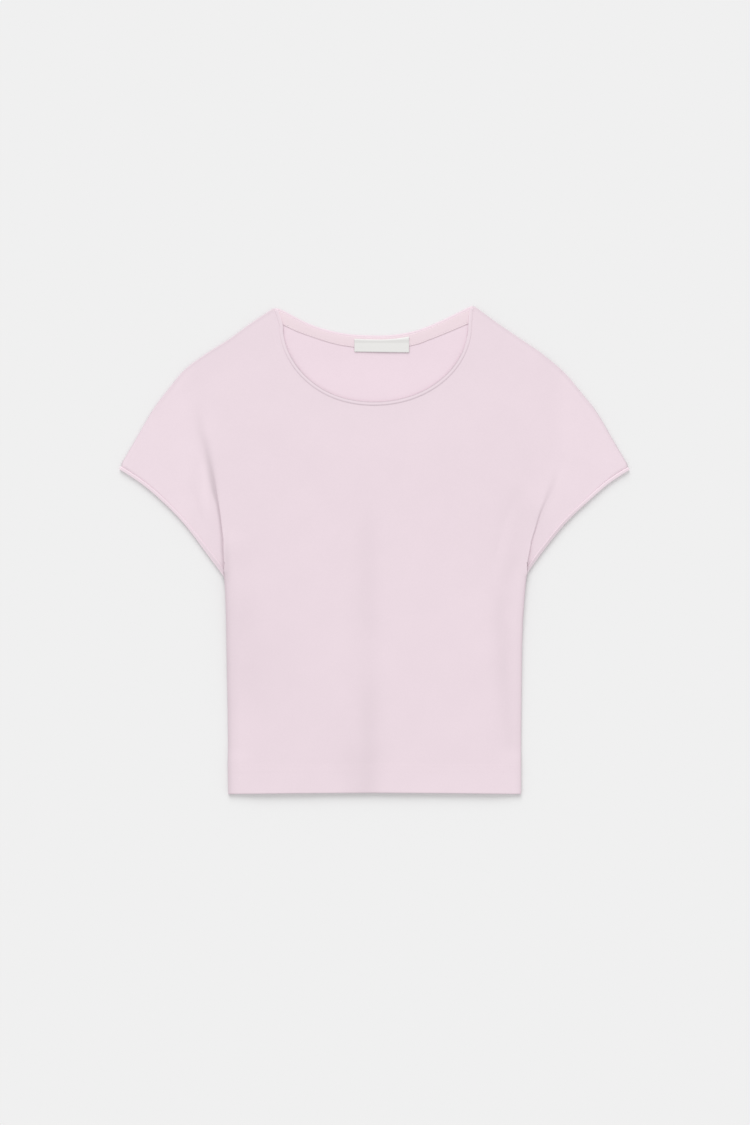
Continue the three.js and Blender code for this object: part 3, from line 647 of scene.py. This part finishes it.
def satin():
    """Woven satin: long floats lie along x, split by fine threads across, under a soft gloss."""
    finish = Finish("label_satin")
    stretched = finish.node("ShaderNodeMapping", inputs={"Vector": finish.place, "Scale": SATIN_STRETCH})[0]
    floats = finish.noise(1.0, 2.0, stretched)
    weft = finish.flat_place()[1].wave(WEFT)
    return finish.surface({
        "Base Color": finish.darkened(floats * 0.5 + weft * 0.10 + 0.1, SATIN, 0.93),
        "Roughness": floats * 0.15 + 0.42, "Specular IOR Level": 0.4,
        "Normal": finish.bump(0.4, 0.0001, floats + weft * 0.35)})


u = np.concatenate([[0, 0.006, 0.014], np.linspace(0.025, 0.975, LABEL_COLUMNS), [0.986, 0.994, 1]])
v = np.concatenate([[0, 0.02, 0.05], np.linspace(0.09, 1, LABEL_ROWS)])[:, None]
label_x = LABEL_LEFT + (LABEL_RIGHT - LABEL_LEFT) * u
roll_lower = beside(back_neck_line, LABEL_TOP_SHIFT - BACK_NECK_INSET)
label_top = np.interp(label_x, *roll_lower.T)
label_low = LABEL_BOTTOM[0] + (LABEL_BOTTOM[1] - LABEL_BOTTOM[0]) * u
label_y = label_low * (1 - v) + label_top * v
end_gap = np.minimum(label_x - LABEL_LEFT, LABEL_RIGHT - label_x)
ends = smooth((LABEL_TURN - end_gap) / LABEL_TURN_REACH)
label_edge = np.minimum(rounded(end_gap, LABEL_ROUND[0]), rounded(label_y - label_low, LABEL_ROUND[1]))
label_z = (tape_top + LABEL_CLOTH / 2 + np.interp(label_y, *np.transpose(LABEL_LIE))
           - LABEL_TUCK * ramp(v, LABEL_TUCK_FROM, 1)
           + LABEL_TURN_LIFT * ends * (0.4 + 0.6 * label_edge)
           + LABEL_WAVE * np.sin(label_x / 9.0 + 0.6) * (1 - v) - LABEL_EDGE_DROP * (1 - label_edge))
label_flat = np.stack([np.broadcast_to(label_x, label_y.shape), label_y], axis=2)
piece("neck_label", *cloth_wall(*joined([lifted(label_flat, label_z)]), LABEL_CLOTH), satin(),
      "label_satin", back_panel)

# Front panel.
# The front of the body and the upper halves of the cap sleeves, cut in one like the back. Over each
# underarm the loose cloth folds and lies over the sleeve; soft creases run through the rest.
# Bend radius and straight run of each fold at the underarm, and the height where it ends
FOLDS = {"left": (0.82, 6.5, 385.0), "right": (0.66, 3.5, 328.0)}
# Shares of the way up a fold, and the width that it takes up sideways there
FOLD_WIDTHS = np.array([
    (0, 0.0), (0.15, 0.3), (0.29, 1.0), (0.41, 2.4), (0.52, 5.0), (0.64, 8.0), (0.8, 10.0), (1, 11.0),
])
FOLD_FADE = 1.15
FOLD_TOP = 365.0
OVERLAP_END = 0.2
LEAST_STEP = 1e-3
LEAST_RUN = 1e-6
RUN_STEPS = 5
FOLD_REACH = 32.0
FOLD_RISE = (40.0, 206.0)
CORNER_TURN = 14.0
BEND_STEPS = 9
SLEEVE_SETTLING = 20.0
HEM_EASE = 16.0
BODY_TOP = 5.0
CHEST_TOP = 3.9
CHEST = (100.0, 320.0)
HEM_DIP = 0.2
HEM_DIP_REACH = 60.0
SIDE_REACH = 32.0
SHOULDER_REACH = 90.0
NECK_REACH = 60.0
CREASE_EDGE_REACH = 10.0
FRONT_ROLL_WIDTH = 3.5
NECK_TUCK = 0.9
# Extra fullness of the scoop, the angle round it where this is greatest, and how far it reaches
NECK_FULLNESS = (0.9, 1.05, 0.4)
NECK_ROLL_ENDS = [(-93.4, 460.2), (92.2, 462.0)]
NECK_POINTS = 33
NECK_START = 0.5
# Depth of the ditch along the neck roll, and how far it reaches
DITCH = 0.05
DITCH_REACH = 1.6
# Heights of the wide and the fine waves in the loose cloth
WAVES = (0.10, 0.05)
# Height of the puckers and depth of the furrow along the hem's upper stitching, and their reaches
HEM_PUCKER = (0.03, 4.0)
HEM_FURROW = (0.04, 0.9)
HEM_FURROW_EASE = 3.0
# Ends, sideways bow, half-width and depth of each soft trough, or ridge where it is below zero
CREASES = [
    (-4, 300, -8, 2, 5, 13, 1.0), (20, 170, 14, 6, 2, 14, -0.5), (-32, 160, -34, 6, -2, 14, -0.5),
    (142, 300, 118, 186, 6, 8, 0.8), (117, 205, 130, 62, -4, 9, 0.8), (-128, 196, -122, 52, 4, 12, 0.8),
    (-171, 348, -158, 252, 3, 6, -1.0), (-178, 300, -163, 246, 2, 6, 0.5),
    (-112, 440, -190, 372, 6, 11, 0.6),
]
# Painted shade, or painted light where below zero, in soft strokes: ends, sideways bow, half-width
# and the light lost, at each end where it differs
PAINTED_SHADES = [
    (-6, 300, -5, 110, 0, 11, 0.014, 0.055), (-5, 150, -9, -60, -1, 11, 0.050, 0.085),
    (-26, 90, -20, -60, 0, 10, 0.010, 0.045), (-118, 210, -116, 60, 0, 16, 0.028, 0.018),
    (-175, 16, 0, 10, 0, 30, 0.010), (-70, 70, -20, 66, 0, 16, 0.010),
    (-96, 230, -92, 20, 0, 34, 0.012, 0.018), (-164, 336, -158, 250, 0, 5, -0.040),
    (-182, 350, -168, 250, 0, 12, -0.014), (182, 330, 160, 250, 0, 10, -0.020),
    (152, 290, 138, 216, 0, 10, 0.030), (-120, 452, -196, 392, 8, 12, 0.018),
]
CREASE_FADE = 0.35
# Painted shade along the foot of each fold, painted light where below zero: places, with the
# half-width and the light lost
PAINTED_FOLD_SHADES = {
    "left": [(-168, 374, 4.5, 0.0), (-165.3, 346, 4.2, 0.04), (-160.3, 331.6, 4, 0.08),
             (-157.4, 317.3, 3.8, 0.13), (-154.6, 303, 3.4, 0.18), (-152.2, 289, 2.8, 0.22),
             (-148.8, 274, 1.5, 0.20), (-146.8, 260, 1.2, 0.19), (-145.4, 246, 1.2, 0.17),
             (-144.7, 232, 1.2, 0.15), (-144.0, 217, 1.2, 0.06), (-143, 208, 1.2, 0.0)],
    "right": [(172, 310, 4, 0.0), (167.3, 288.8, 4, 0.03), (161.8, 274.6, 3.4, 0.03),
              (154.9, 260.3, 3, 0.03), (151.8, 249, 2.0, -0.02), (148.6, 238, 1.2, -0.06),
              (146.6, 226, 1.1, -0.08), (145.6, 213, 1.1, -0.08), (144.6, 205, 1.1, 0.0)],
}
# Painted shade of a soft trough down the right of the body, given in the same way
PAINTED_TROUGH_SHADE = [(139, 294, 9, 0.0), (137.8, 268, 7, 0.026), (132.5, 246, 7, 0.032), (130, 220, 8, 0.036),
               (121, 192, 10, 0.036), (119.5, 165, 9, 0.042), (123, 110, 9, 0.038), (126, 80, 8, 0.034),
               (130, 45, 8, 0.018), (131, 18, 8, 0.0)]
# Painted shade on the body beside the foot of the left fold
PAINTED_FOLD_SIDE_SHADE = [(-141, 252, 2.5, 0.0), (-140.6, 233, 2.8, 0.05), (-140.2, 218, 3.2, 0.09),
             (-139.8, 204, 3, 0.03)]
# Painted light on the sleeves beside their rolled edges near the tips
PAINTED_TIP_LIGHTS = {
    "left": [(-241.4, 310.6, 1.4, -0.12), (-220, 296.4, 1.4, -0.10), (-199.2, 278.4, 1.3, 0.0)],
    "right": [(241.3, 309.9, 1.4, -0.14), (222, 297.1, 1.4, -0.12), (199.9, 277.8, 1.3, 0.0)],
}
# Painted light added to the hem band and to the sleeves, growing between the distances from the middle
# below
PAINTED_HEM_LIGHT = 0.010
PAINTED_SLEEVE_LIGHT = 0.022
SLEEVES_FROM = (166.0, 186.0)
# Distances in from a side seam, and the painted shade there, as light lost
PAINTED_SIDE_SHADES = {
    "left": ([0, 1.2, 2.9, 4.8, 6.7, 11], [0.17, 0.14, 0.07, 0.035, 0.02, 0]),
    "right": ([0, 1.2, 2.9, 4.8, 6.7, 11], [0.10, 0.06, 0.025, 0.01, 0, 0]),
}

sleeve_runs = [sleeve_lines[side][::8] for side in SIDE_NAMES]


def neck_point(angle, outward):
    """Ellipse of the front neck, hanging down from its two ends and a little fuller at its lower left."""
    fullness, at, reach = NECK_FULLNESS
    outward = outward + fullness * np.exp(-(((angle - at) / reach) ** 2))
    return np.stack([NECK_MIDDLE - (NECK_HALF_WIDTH + outward) * np.cos(angle),
                     NECK_TOP - (NECK_DROP + outward) * np.sin(angle)], axis=-1)


scoop = neck_point(np.linspace(0, np.pi, NECK_POINTS), FRONT_ROLL_WIDTH / 2)
roll_middle = curve([NECK_ROLL_ENDS[0], *scoop, NECK_ROLL_ENDS[1]], LONG_RUN)
neck_edge = beside(roll_middle, NECK_TUCK - FRONT_ROLL_WIDTH / 2)
neck_run = neck_edge[::8]


def strokes(x, y, table):
    """Sum of soft strokes: each fades towards its ends and, as a bell curve, across its width; its
    strength runs evenly from the first end's to the second's."""
    total = np.zeros_like(x)
    for x0, y0, x1, y1, bow, width, *strength in table:
        dx, dy = x1 - x0, y1 - y0
        length = np.hypot(dx, dy)
        run = ((x - x0) * dx + (y - y0) * dy) / length**2
        across = ((x - x0) * dy - (y - y0) * dx) / length - bow * 4 * run * (1 - run)
        fade = smooth(np.minimum(run, 1 - run) / CREASE_FADE)
        level = strength[0] + (strength[-1] - strength[0]) * run
        total += level * fade * np.exp(-((across / width) ** 2))
    return total


def band(x, y, stops):
    """Soft stroke along a run of stops; a point takes the half-width and strength at the run's nearest
    place, and the strength falls off sideways as a bell curve."""
    nearest, level = np.full(x.shape, np.inf), np.zeros_like(x)
    for first, second in zip(np.array(stops[:-1], float), np.array(stops[1:], float)):
        dx, dy, wider, stronger = second - first
        share = np.clip(((x - first[0]) * dx + (y - first[1]) * dy) / (dx * dx + dy * dy), 0, 1)
        gap = np.hypot(x - first[0] - share * dx, y - first[1] - share * dy)
        here = (first[3] + share * stronger) * np.exp(-((gap / (first[2] + share * wider)) ** 2))
        level = np.where(gap < nearest, here, level)
        nearest = np.minimum(nearest, gap)
    return level


def fold_at(side, y):
    """Turn, radius, straight run and full rise of the fold over an underarm at heights y. The turn is
    twice the angle whose tangent is the step down over the width sideways; upwards the step dies away
    and the width grows, so the fold opens from a full turn into a soft slope."""
    closed_radius, overlap, vanish = FOLDS[side]
    start = FOLD_HEIGHTS[0]
    up = np.clip((y - start) / (vanish - start), 0, 1)
    step = np.maximum(4 * closed_radius * (1 - up) ** FOLD_FADE, LEAST_STEP)
    closing = 1 - ramp(y, FOLD_TOP, FOLD_HEIGHTS[-1])
    turn = 2 * np.arctan2(step, np.interp(up, *FOLD_WIDTHS.T) * closing)
    radius = np.where(y < start, 0, step / (2 - 2 * np.cos(turn)))
    run = np.where(y < start, 0, overlap * (1 - smooth(up / OVERLAP_END)))
    low = 4 * closed_radius * ramp(y, *FOLD_RISE)
    return turn, radius, run, np.where(y < start, low, step + run * np.sin(turn))


def eased_cloth(y):
    """Thickness of the front, which eases out of the doubled hem over a wider band than the turn."""
    return cloth_at(y, HEM_EASE)


def front_base(y):
    """Middle of the front's cloth where it lies closest on the back."""
    return eased_cloth(y) * 1.5 + SEAM_GAP


def loose_lift(x, y):
    """Air under the front, most in the lower body, less soft waves and creases and the hem's furrow."""
    sides = distance(x, y, seam_runs[2:])
    shoulders = distance(x, y, seam_runs[:2] + sleeve_runs)
    neck = distance(x, y, [neck_run])
    share = smooth(sides / SIDE_REACH) * smooth(shoulders / SHOULDER_REACH) * smooth(neck / NECK_REACH)
    top = BODY_TOP - (BODY_TOP - CHEST_TOP) * ramp(y, *CHEST)
    top = top - HEM_DIP * (1 - smooth(y / HEM_DIP_REACH))
    air = (top - eased_cloth(y) * 2 - SEAM_GAP) * share
    waves = (WAVES[0] * np.sin(x / 17.0 + np.sin(y / 43.0) * 1.3) * np.sin(y / 31.0 + 0.8)
             + WAVES[1] * np.sin(x / 9.3 - y / 24.0) * np.sin(y / 13.0 + x / 37.0))
    gap = np.minimum(np.minimum(sides, shoulders), neck)
    edge_share = smooth(gap / CREASE_EDGE_REACH)
    pucker, furrow = (height * np.exp(-(((y - HEM_TURN) / reach) ** 2))
                      for height, reach in (HEM_PUCKER, HEM_FURROW))
    pucker = pucker * np.sin(x / 1.15 + np.sin(x / 7.0))
    lift = air + (waves - strokes(x, y, CREASES)) * edge_share
    return np.maximum(lift, 0) + (pucker - furrow) * smooth(gap / HEM_FURROW_EASE)


def body_lift(x, y):
    lift = loose_lift(x, y)
    for side in SIDE_NAMES:
        inward = np.abs(x - side_at(side, y))
        lift += fold_at(side, y)[3] * (1 - smooth(inward / FOLD_REACH))
    return lift


front_heights = np.concatenate([BODY_HEIGHTS, fold_heights])
front_sides = {}
for side in SIDE_NAMES:
    turn, radius, _, _ = fold_at(side, front_heights)
    crest = radius * np.sin(np.minimum(turn, np.pi / 2))
    edge_x = side_at(side, front_heights) - SIDE_SIGN[side] * crest
    front_sides[side] = ending_at_shoulder(side, np.stack([edge_x, front_heights], axis=1))
coarse_angles = (np.arange(1, NECK_INTERVALS) - NECK_START) * np.pi / (NECK_INTERVALS - 2 * NECK_START)
front_top_edge = neck_top_edge(neck_edge, neck_point(coarse_angles, FRONT_ROLL_WIDTH - NECK_TUCK))
front_body = body(front_top_edge, front_sides, front_heights)
x, y = front_body[..., 0], front_body[..., 1]
front_body = lifted(front_body, front_base(y) + body_lift(x, y))


def sleeve_rows(side, roots):
    """One front sleeve: each row goes round the fold, an arc, a straight run and an arc back, and then
    out over the sleeve, settling to where it lies on the back. The lowest rows slant to the corner."""
    sign = SIDE_SIGN[side]
    edge = sleeve_edges[side]
    turn, radius, run, _ = fold_at(side, fold_heights)
    radius = radius[:, None]
    to_corner = (roots[0, :2] - edge[0])[None]
    level = smooth((fold_heights - fold_heights[0]) / CORNER_TURN)[:, None]
    reach = to_corner * (1 - level) + np.array([[sign, 0.0]]) * run[:, None] * level
    run = np.linalg.norm(reach, axis=1)
    outwards = np.where((run < LEAST_RUN)[:, None], (sign, 0.0),
                        reach / np.maximum(run, LEAST_RUN)[:, None])
    angles = np.linspace(0, 1, BEND_STEPS + 1)[None] * turn[:, None]
    first_out, first_fall = radius * np.sin(angles), radius * (1 - np.cos(angles))
    along_run = np.linspace(0, 1, RUN_STEPS) * run[:, None]
    run_out = first_out[:, -1:] + along_run * np.cos(turn)[:, None]
    run_fall = first_fall[:, -1:] + along_run * np.sin(turn)[:, None]
    last_out = run_out[:, -1:] + first_out[:, -1:] - first_out[:, ::-1]
    last_fall = run_fall[:, -1:] + first_fall[:, -1:] - first_fall[:, ::-1]
    out = np.concatenate([first_out, run_out[:, 1:-1], last_out], axis=1)
    fall = np.concatenate([first_fall, run_fall[:, 1:-1], last_fall], axis=1)
    fold = lifted(roots[:, None, :2] + outwards[:, None] * out[..., None], roots[:, 2:] - fall)
    last = fold[:, -1]
    cloth = fan(last[:, :2], edge, sleeve_shoulders[side])[:, 1:]
    x, y = cloth[..., 0], cloth[..., 1]
    settling = smooth(np.hypot(x - last[:, :1], y - last[:, 1:2]) / SLEEVE_SETTLING)
    z = last[:, 2:] * (1 - settling) + (front_base(y) + loose_lift(x, y)) * settling
    return np.concatenate([fold, lifted(cloth, z)], axis=1)


front_points, front_faces = with_sleeves(front_body, sleeve_rows)
x, y = front_points[:, :2].T
seam, front_cloth = rounded_edges(x, y, eased_cloth(y))
bound = rounded(distance(x, y, [neck_run]), DITCH_REACH)
seam_height = cloth_at(y) + SEAM_GAP / 2 + front_cloth * SEAM_OFFSET
front_points[:, 2] = (seam * front_points[:, 2] + (1 - seam) * seam_height) - DITCH * (1 - bound)
sleeve_share = ramp(np.abs(x), *SLEEVES_FROM)
# Painted shading of the front: painted shade along creases, folds and seams, painted light on the hem band,
# sleeves and sleeve tips
front_painted_shading = (strokes(x, y, PAINTED_SHADES) + band(x, y, PAINTED_TROUGH_SHADE) + band(x, y, PAINTED_FOLD_SIDE_SHADE)
               + np.interp(distance(x, y, seam_runs[:2]), *PAINTED_SHOULDER_SHADE)
               - PAINTED_HEM_LIGHT * hem_share(y) - PAINTED_SLEEVE_LIGHT * sleeve_share)
for side, run in zip(SIDE_NAMES, seam_runs[2:]):
    front_painted_shading += band(x, y, PAINTED_FOLD_SHADES[side]) + np.interp(distance(x, y, [run]), *PAINTED_SIDE_SHADES[side])
    front_painted_shading += band(x, y, PAINTED_TIP_LIGHTS[side])
front_panel = piece("front_panel", *cloth_wall(front_points, front_faces, front_cloth), cloth_finish,
                    "jersey", shade=np.tile(front_painted_shading, 2))

# Hem stitching.
# Two rows of fine stitches, sewn side by side with thread of the cloth's own colour, hold the turned
# hem. The row pair of the back lies on the surface, unseen, and isn't raised.
THREAD = (0.775, 0.653, 0.708, 1)
STITCH_SIDES = 5
STITCH_SINK = 0.14
# Places along half a stitch each way, and the share of the thread's radius there
STITCH_RINGS = np.array([(-1, 0.3), (-0.75, 0.85), (0, 1), (0.75, 0.85), (1, 0.3)])
HEM_ROWS = (26.6, 21.2)
# Pitch, length and radius of a stitch
HEM_STITCH = (3.0, 2.3, 0.14)
HEM_STITCH_ENDS = (-136.0, 135.9)
HEM_STITCH_POINTS = 281
STRAND = 0.00035


def thread():
    """Spun thread: its strands show as fine slanting stripes, a little fuzzy."""
    finish = Finish("sewing_thread")
    x, y = finish.flat_place()
    fuzz = finish.noise(2400.0, 2.0)
    twist = (x + y).wave(STRAND)
    return finish.surface({
        "Base Color": finish.darkened(twist * 0.25 + fuzz * 0.5, THREAD, 0.92),
        "Roughness": fuzz * 0.2 + 0.6, "Specular IOR Level": 0.3,
        "Normal": finish.bump(0.4, 0.00005, twist * 0.5 + fuzz)})


def tube_faces(rings, sides, closed):
    """Corner triples of a tube round its rings; one that isn't closed has a fan over each end."""
    faces = [triangles(rings, sides, True, closed)]
    if not closed:
        fans = np.arange(1, sides - 1)
        last = (rings - 1) * sides
        zero = np.zeros_like(fans)
        faces.append(np.stack([zero, fans + 1, fans], axis=1))
        faces.append(np.stack([zero + last, fans + last, fans + last + 1], axis=1))
    return np.concatenate(faces)


def stitches(run, heights, stitch):
    """Rings of a row of stitches along a flat run: each is a short tube that narrows towards both ends
    and sinks into the cloth there as the square of the way from its middle."""
    pitch, length, radius = stitch
    count = int(lengths_to(run)[-1] / pitch)
    shares = (np.arange(count) + 0.5) / count
    centres = along(np.column_stack([run, heights]), shares)
    ahead = along(run, np.minimum(shares + 0.001, 1)) - along(run, shares - 0.001)
    ahead /= np.linalg.norm(ahead, axis=1)[:, None]
    forward = np.column_stack([ahead, np.zeros(count)])[:, None, None]
    sideways = np.column_stack([-ahead[:, 1], ahead[:, 0], np.zeros(count)])[:, None, None]
    upward = np.array([0.0, 0.0, 1.0])
    t, narrowing = STITCH_RINGS.T[:, None, :, None, None]
    angle = (2 * np.pi * np.arange(STITCH_SIDES) / STITCH_SIDES)[:, None]
    return (centres[:, None, None] + forward * t * length / 2
            + sideways * np.cos(angle) * narrowing * radius
            + upward * (np.sin(angle) * narrowing * radius - STITCH_SINK * t**2))


def sewn(name, rows, slot, carrier):
    """Joins rows of stitches into one piece that goes with the cloth it is sewn through."""
    points = np.concatenate(rows)
    one = tube_faces(len(STITCH_RINGS), STITCH_SIDES, False)
    starts = np.arange(len(points))[:, None, None] * len(STITCH_RINGS) * STITCH_SIDES
    piece(name, points.reshape(-1, 3), (starts + one).reshape(-1, 3), thread_finish, slot, carrier,
          stands_for=False)


def front_top(x, y):
    """Height of the front's outer face away from its edges."""
    return front_base(y) + body_lift(x, y) + eased_cloth(y) / 2


thread_finish = thread()
hem_rows = []
for row_y in HEM_ROWS:
    row = np.linspace((HEM_STITCH_ENDS[0], row_y), (HEM_STITCH_ENDS[1], row_y), HEM_STITCH_POINTS)
    hem_rows.append(stitches(row, front_top(*row.T), HEM_STITCH))
sewn("hem_stitches", hem_rows, "jersey", front_panel)

# Neck bindings.
# A narrow strip of the jersey is rolled over the raw edge of the neck and stitched down close to its
# outer side. The back one ends under the shoulders, the front one goes round the scoop.
NECK_ROLL_HEIGHT = 1.8
BACK_ROLL_HEIGHT = 1.7
DITCH_OFFSET = 0.25
DITCH_STITCH = (2.7, 2.0, 0.14)
NECK_STITCH_TRIM = 12
TAPE_STITCH_TRIM = 3
# Shares of the way up the tape, and the rise of its face there
TAPE_STITCH_ROWS = ((TAPE_STITCH_SHARE, 0.03), (0.9, TAPE_CLIMB))
ROLL_SIDES = 20
ROLL_SQUARENESS = 0.75
ROLL_STATION = 1.3
BACK_ROLL_RUN = 221
ROLL_PUCKER = 0.06
PUCKER_PITCH = 3.1
FLANK = (0.35, 0.9)
CROWN = 0.6
# Painted shade on the inner and outer flanks of the front neck roll, as light lost
PAINTED_INNER_FLANK_SHADE = 0.33
PAINTED_OUTER_FLANK_SHADE = 0.05
# Distances from the ends of the front roll and the shares of its flanks' painted shading there; below zero
# the ends get painted light
NECK_END_FADE = ([10, 18, 30, 45, 60], [-0.2, 0.05, 0.15, 0.7, 1.0])


def roll(name, carrier, stations, width, height, painted_flank_shades, closed=False, painted_crown_shade=0.0, fade=1.0):
    """Rounded roll carried along stations. Its section is an ellipse whose sine and cosine are raised to
    a power below one, which squares it, and it swells a little between its stitches."""
    middles, across, up = stations
    angle = 2 * np.pi * (np.arange(ROLL_SIDES) + 0.5) / ROLL_SIDES
    c, s = (np.sign(f) * np.abs(f) ** ROLL_SQUARENESS for f in (np.cos(angle), np.sin(angle)))
    turns = lengths_to(middles)[:, None] / PUCKER_PITCH
    swell = ROLL_PUCKER * np.sin(2 * np.pi * turns + 0.8 * np.cos(angle)) * np.abs(s)
    count = len(middles)
    a = np.outer(np.broadcast_to(width, count) / 2, c)
    b = s * (height / 2) + np.sign(s) * swell
    rings = middles[:, None] + across[:, None] * a[..., None] + up[:, None] * b[..., None]
    # Painted shading of the roll: painted shade on its flanks and crown, and painted light where the values
    # are below zero
    flank = np.clip((np.abs(c) - FLANK[0]) / (FLANK[1] - FLANK[0]), 0, 1) * np.where(c > 0, *painted_flank_shades)
    crown = np.outer(np.broadcast_to(painted_crown_shade, count), np.abs(c) < CROWN)
    shade = (np.outer(np.broadcast_to(fade, count), flank) + crown).ravel()
    piece(name, rings.reshape(-1, 3), tube_faces(count, ROLL_SIDES, closed), roll_finish, "binding",
          carrier, shade=shade)


def level_stations(run, z):
    """Middles of a roll along a flat run at one height, with the directions across and upwards."""
    level = np.zeros(len(run))
    return (np.column_stack([run, level + z]), np.column_stack([beside(run, 1.0) - run, level]),
            np.tile((0.0, 0.0, 1.0), (len(run), 1)))


def evenly(run, pitch):
    return along(run, np.linspace(0, 1, int(lengths_to(run)[-1] / pitch) + 1))


roll_finish = jersey("binding_jersey", JERSEY, knit=0.6)
back_roll_line = curve(BACK_ROLL_POINTS, BACK_ROLL_RUN)
back_roll_run = evenly(beside(back_roll_line, -ROLL_WIDTH / 2), ROLL_STATION)
roll("neck_binding_back", back_panel, level_stations(back_roll_run, BACK_ROLL_HEIGHT / 2 + ROLL_PUCKER),
     ROLL_WIDTH, BACK_ROLL_HEIGHT, (0.0, 0.0))

front_roll_run = evenly(roll_middle, ROLL_STATION)
reached = np.arange(len(front_roll_run)) * ROLL_STATION
roll("neck_binding_front", front_panel,
     level_stations(front_roll_run, CLOTH + SEAM_GAP + NECK_ROLL_HEIGHT / 2), FRONT_ROLL_WIDTH,
     NECK_ROLL_HEIGHT, (PAINTED_INNER_FLANK_SHADE, PAINTED_OUTER_FLANK_SHADE),
     fade=np.interp(np.minimum(reached, reached[::-1]), *NECK_END_FADE))

ditch = beside(roll_middle, -FRONT_ROLL_WIDTH / 2 - DITCH_OFFSET)[NECK_STITCH_TRIM:-NECK_STITCH_TRIM]
sewn("neck_stitches", [stitches(ditch, front_top(*ditch.T) - DITCH, DITCH_STITCH)], "binding",
     front_panel)
tape_rows = []
for share, lift in TAPE_STITCH_ROWS:
    row = (tape_lower * (1 - share) + tape_upper * share)[TAPE_STITCH_TRIM:-TAPE_STITCH_TRIM]
    tape_rows.append(stitches(row, np.full(len(row), tape_top + lift), DITCH_STITCH))
sewn("tape_stitches", tape_rows, "tape", back_panel)

# Sleeve bindings.
# The same rolled strip goes once round each flattened sleeve opening: along the front layer from the
# tip to the underarm, round the corner and back along the layer beneath.
SLEEVE_ROLL_HEIGHT = 1.7
SLEEVE_ROLL_GAP = 0.1
# Painted shading of the sleeve rolls: painted light on their flanks, stronger towards the tips, and painted
# shade on their crowns, fading out towards the tips
PAINTED_SLEEVE_INNER_FLANK = -0.04
PAINTED_SLEEVE_OUTER_FLANK = -0.14
PAINTED_CROWN_SHADES = {"left": 0.08, "right": 0.15}
CROWN_START = {"left": 185.0, "right": 210.0}
CROWN_REACH = 40.0
# Distances from the middle of the garment and the factor on the flanks' painted shading there
SLEEVE_TIP_FADE = ([195, 230], [1.0, 2.3])
UNDERARM_CLEARANCE = 0.8
END_TURNS = 7
SLEEVE_STITCH_TRIM = 14


def sleeve_roll(side):
    """Stations of the loop, and its width at each: the upper run, a half turn about the opening's end,
    the lower run back and a half turn at the tip."""
    radius = (SLEEVE_ROLL_HEIGHT + SLEEVE_ROLL_GAP) / 2
    line = sleeve_lines[side]
    length = lengths_to(line)[-1]
    trim = (radius + SLEEVE_ROLL_HEIGHT / 2) / length
    shares = np.linspace(trim, 1 - trim - UNDERARM_CLEARANCE / length, int(length / ROLL_STATION))
    width = np.interp(shares, *SLEEVE_ROLL_WIDTHS[side])
    run = beside(along(line, shares), -SIDE_SIGN[side] * width[:, None] / 2)
    middles, across, up = level_stations(run, SLEEVE_ROLL_HEIGHT + SLEEVE_ROLL_GAP / 2 + ROLL_PUCKER)
    forward = np.cross(across, up)
    turn = np.linspace(0, np.pi, END_TURNS)[1:-1]
    order = np.concatenate([np.arange(len(run)), np.full(len(turn), len(run) - 1),
                            np.arange(len(run))[::-1], np.zeros(len(turn), int)])
    angle = np.concatenate([np.zeros(len(run)), turn, np.full(len(run), np.pi), np.pi + turn])[:, None]
    outward = up[order] * np.cos(angle) + forward[order] * np.sin(angle)
    return (middles[order] + outward * radius, across[order], outward), width[order]


for side, flanks in (("left", (PAINTED_SLEEVE_INNER_FLANK, PAINTED_SLEEVE_OUTER_FLANK)),
                     ("right", (PAINTED_SLEEVE_OUTER_FLANK, PAINTED_SLEEVE_INNER_FLANK))):
    loop, width = sleeve_roll(side)
    from_middle = np.abs(loop[0][:, 0])
    roll(f"sleeve_binding_{side}", front_panel, loop, width, SLEEVE_ROLL_HEIGHT, flanks, closed=True,
         painted_crown_shade=PAINTED_CROWN_SHADES[side] * smooth((CROWN_START[side] - from_middle) / CROWN_REACH),
         fade=np.interp(from_middle, *SLEEVE_TIP_FADE))
    inset = np.interp(np.linspace(0, 1, SHORT_RUN), *SLEEVE_ROLL_WIDTHS[side])[:, None] + DITCH_OFFSET
    ditch = beside(sleeve_lines[side], -SIDE_SIGN[side] * inset)
    ditch = ditch[SLEEVE_STITCH_TRIM:-SLEEVE_STITCH_TRIM]
    lie = front_base(ditch[:, 1]) + loose_lift(*ditch.T) + CLOTH / 2
    sewn(f"sleeve_stitches_{side}", [stitches(ditch, lie, DITCH_STITCH)], "binding", front_panel)
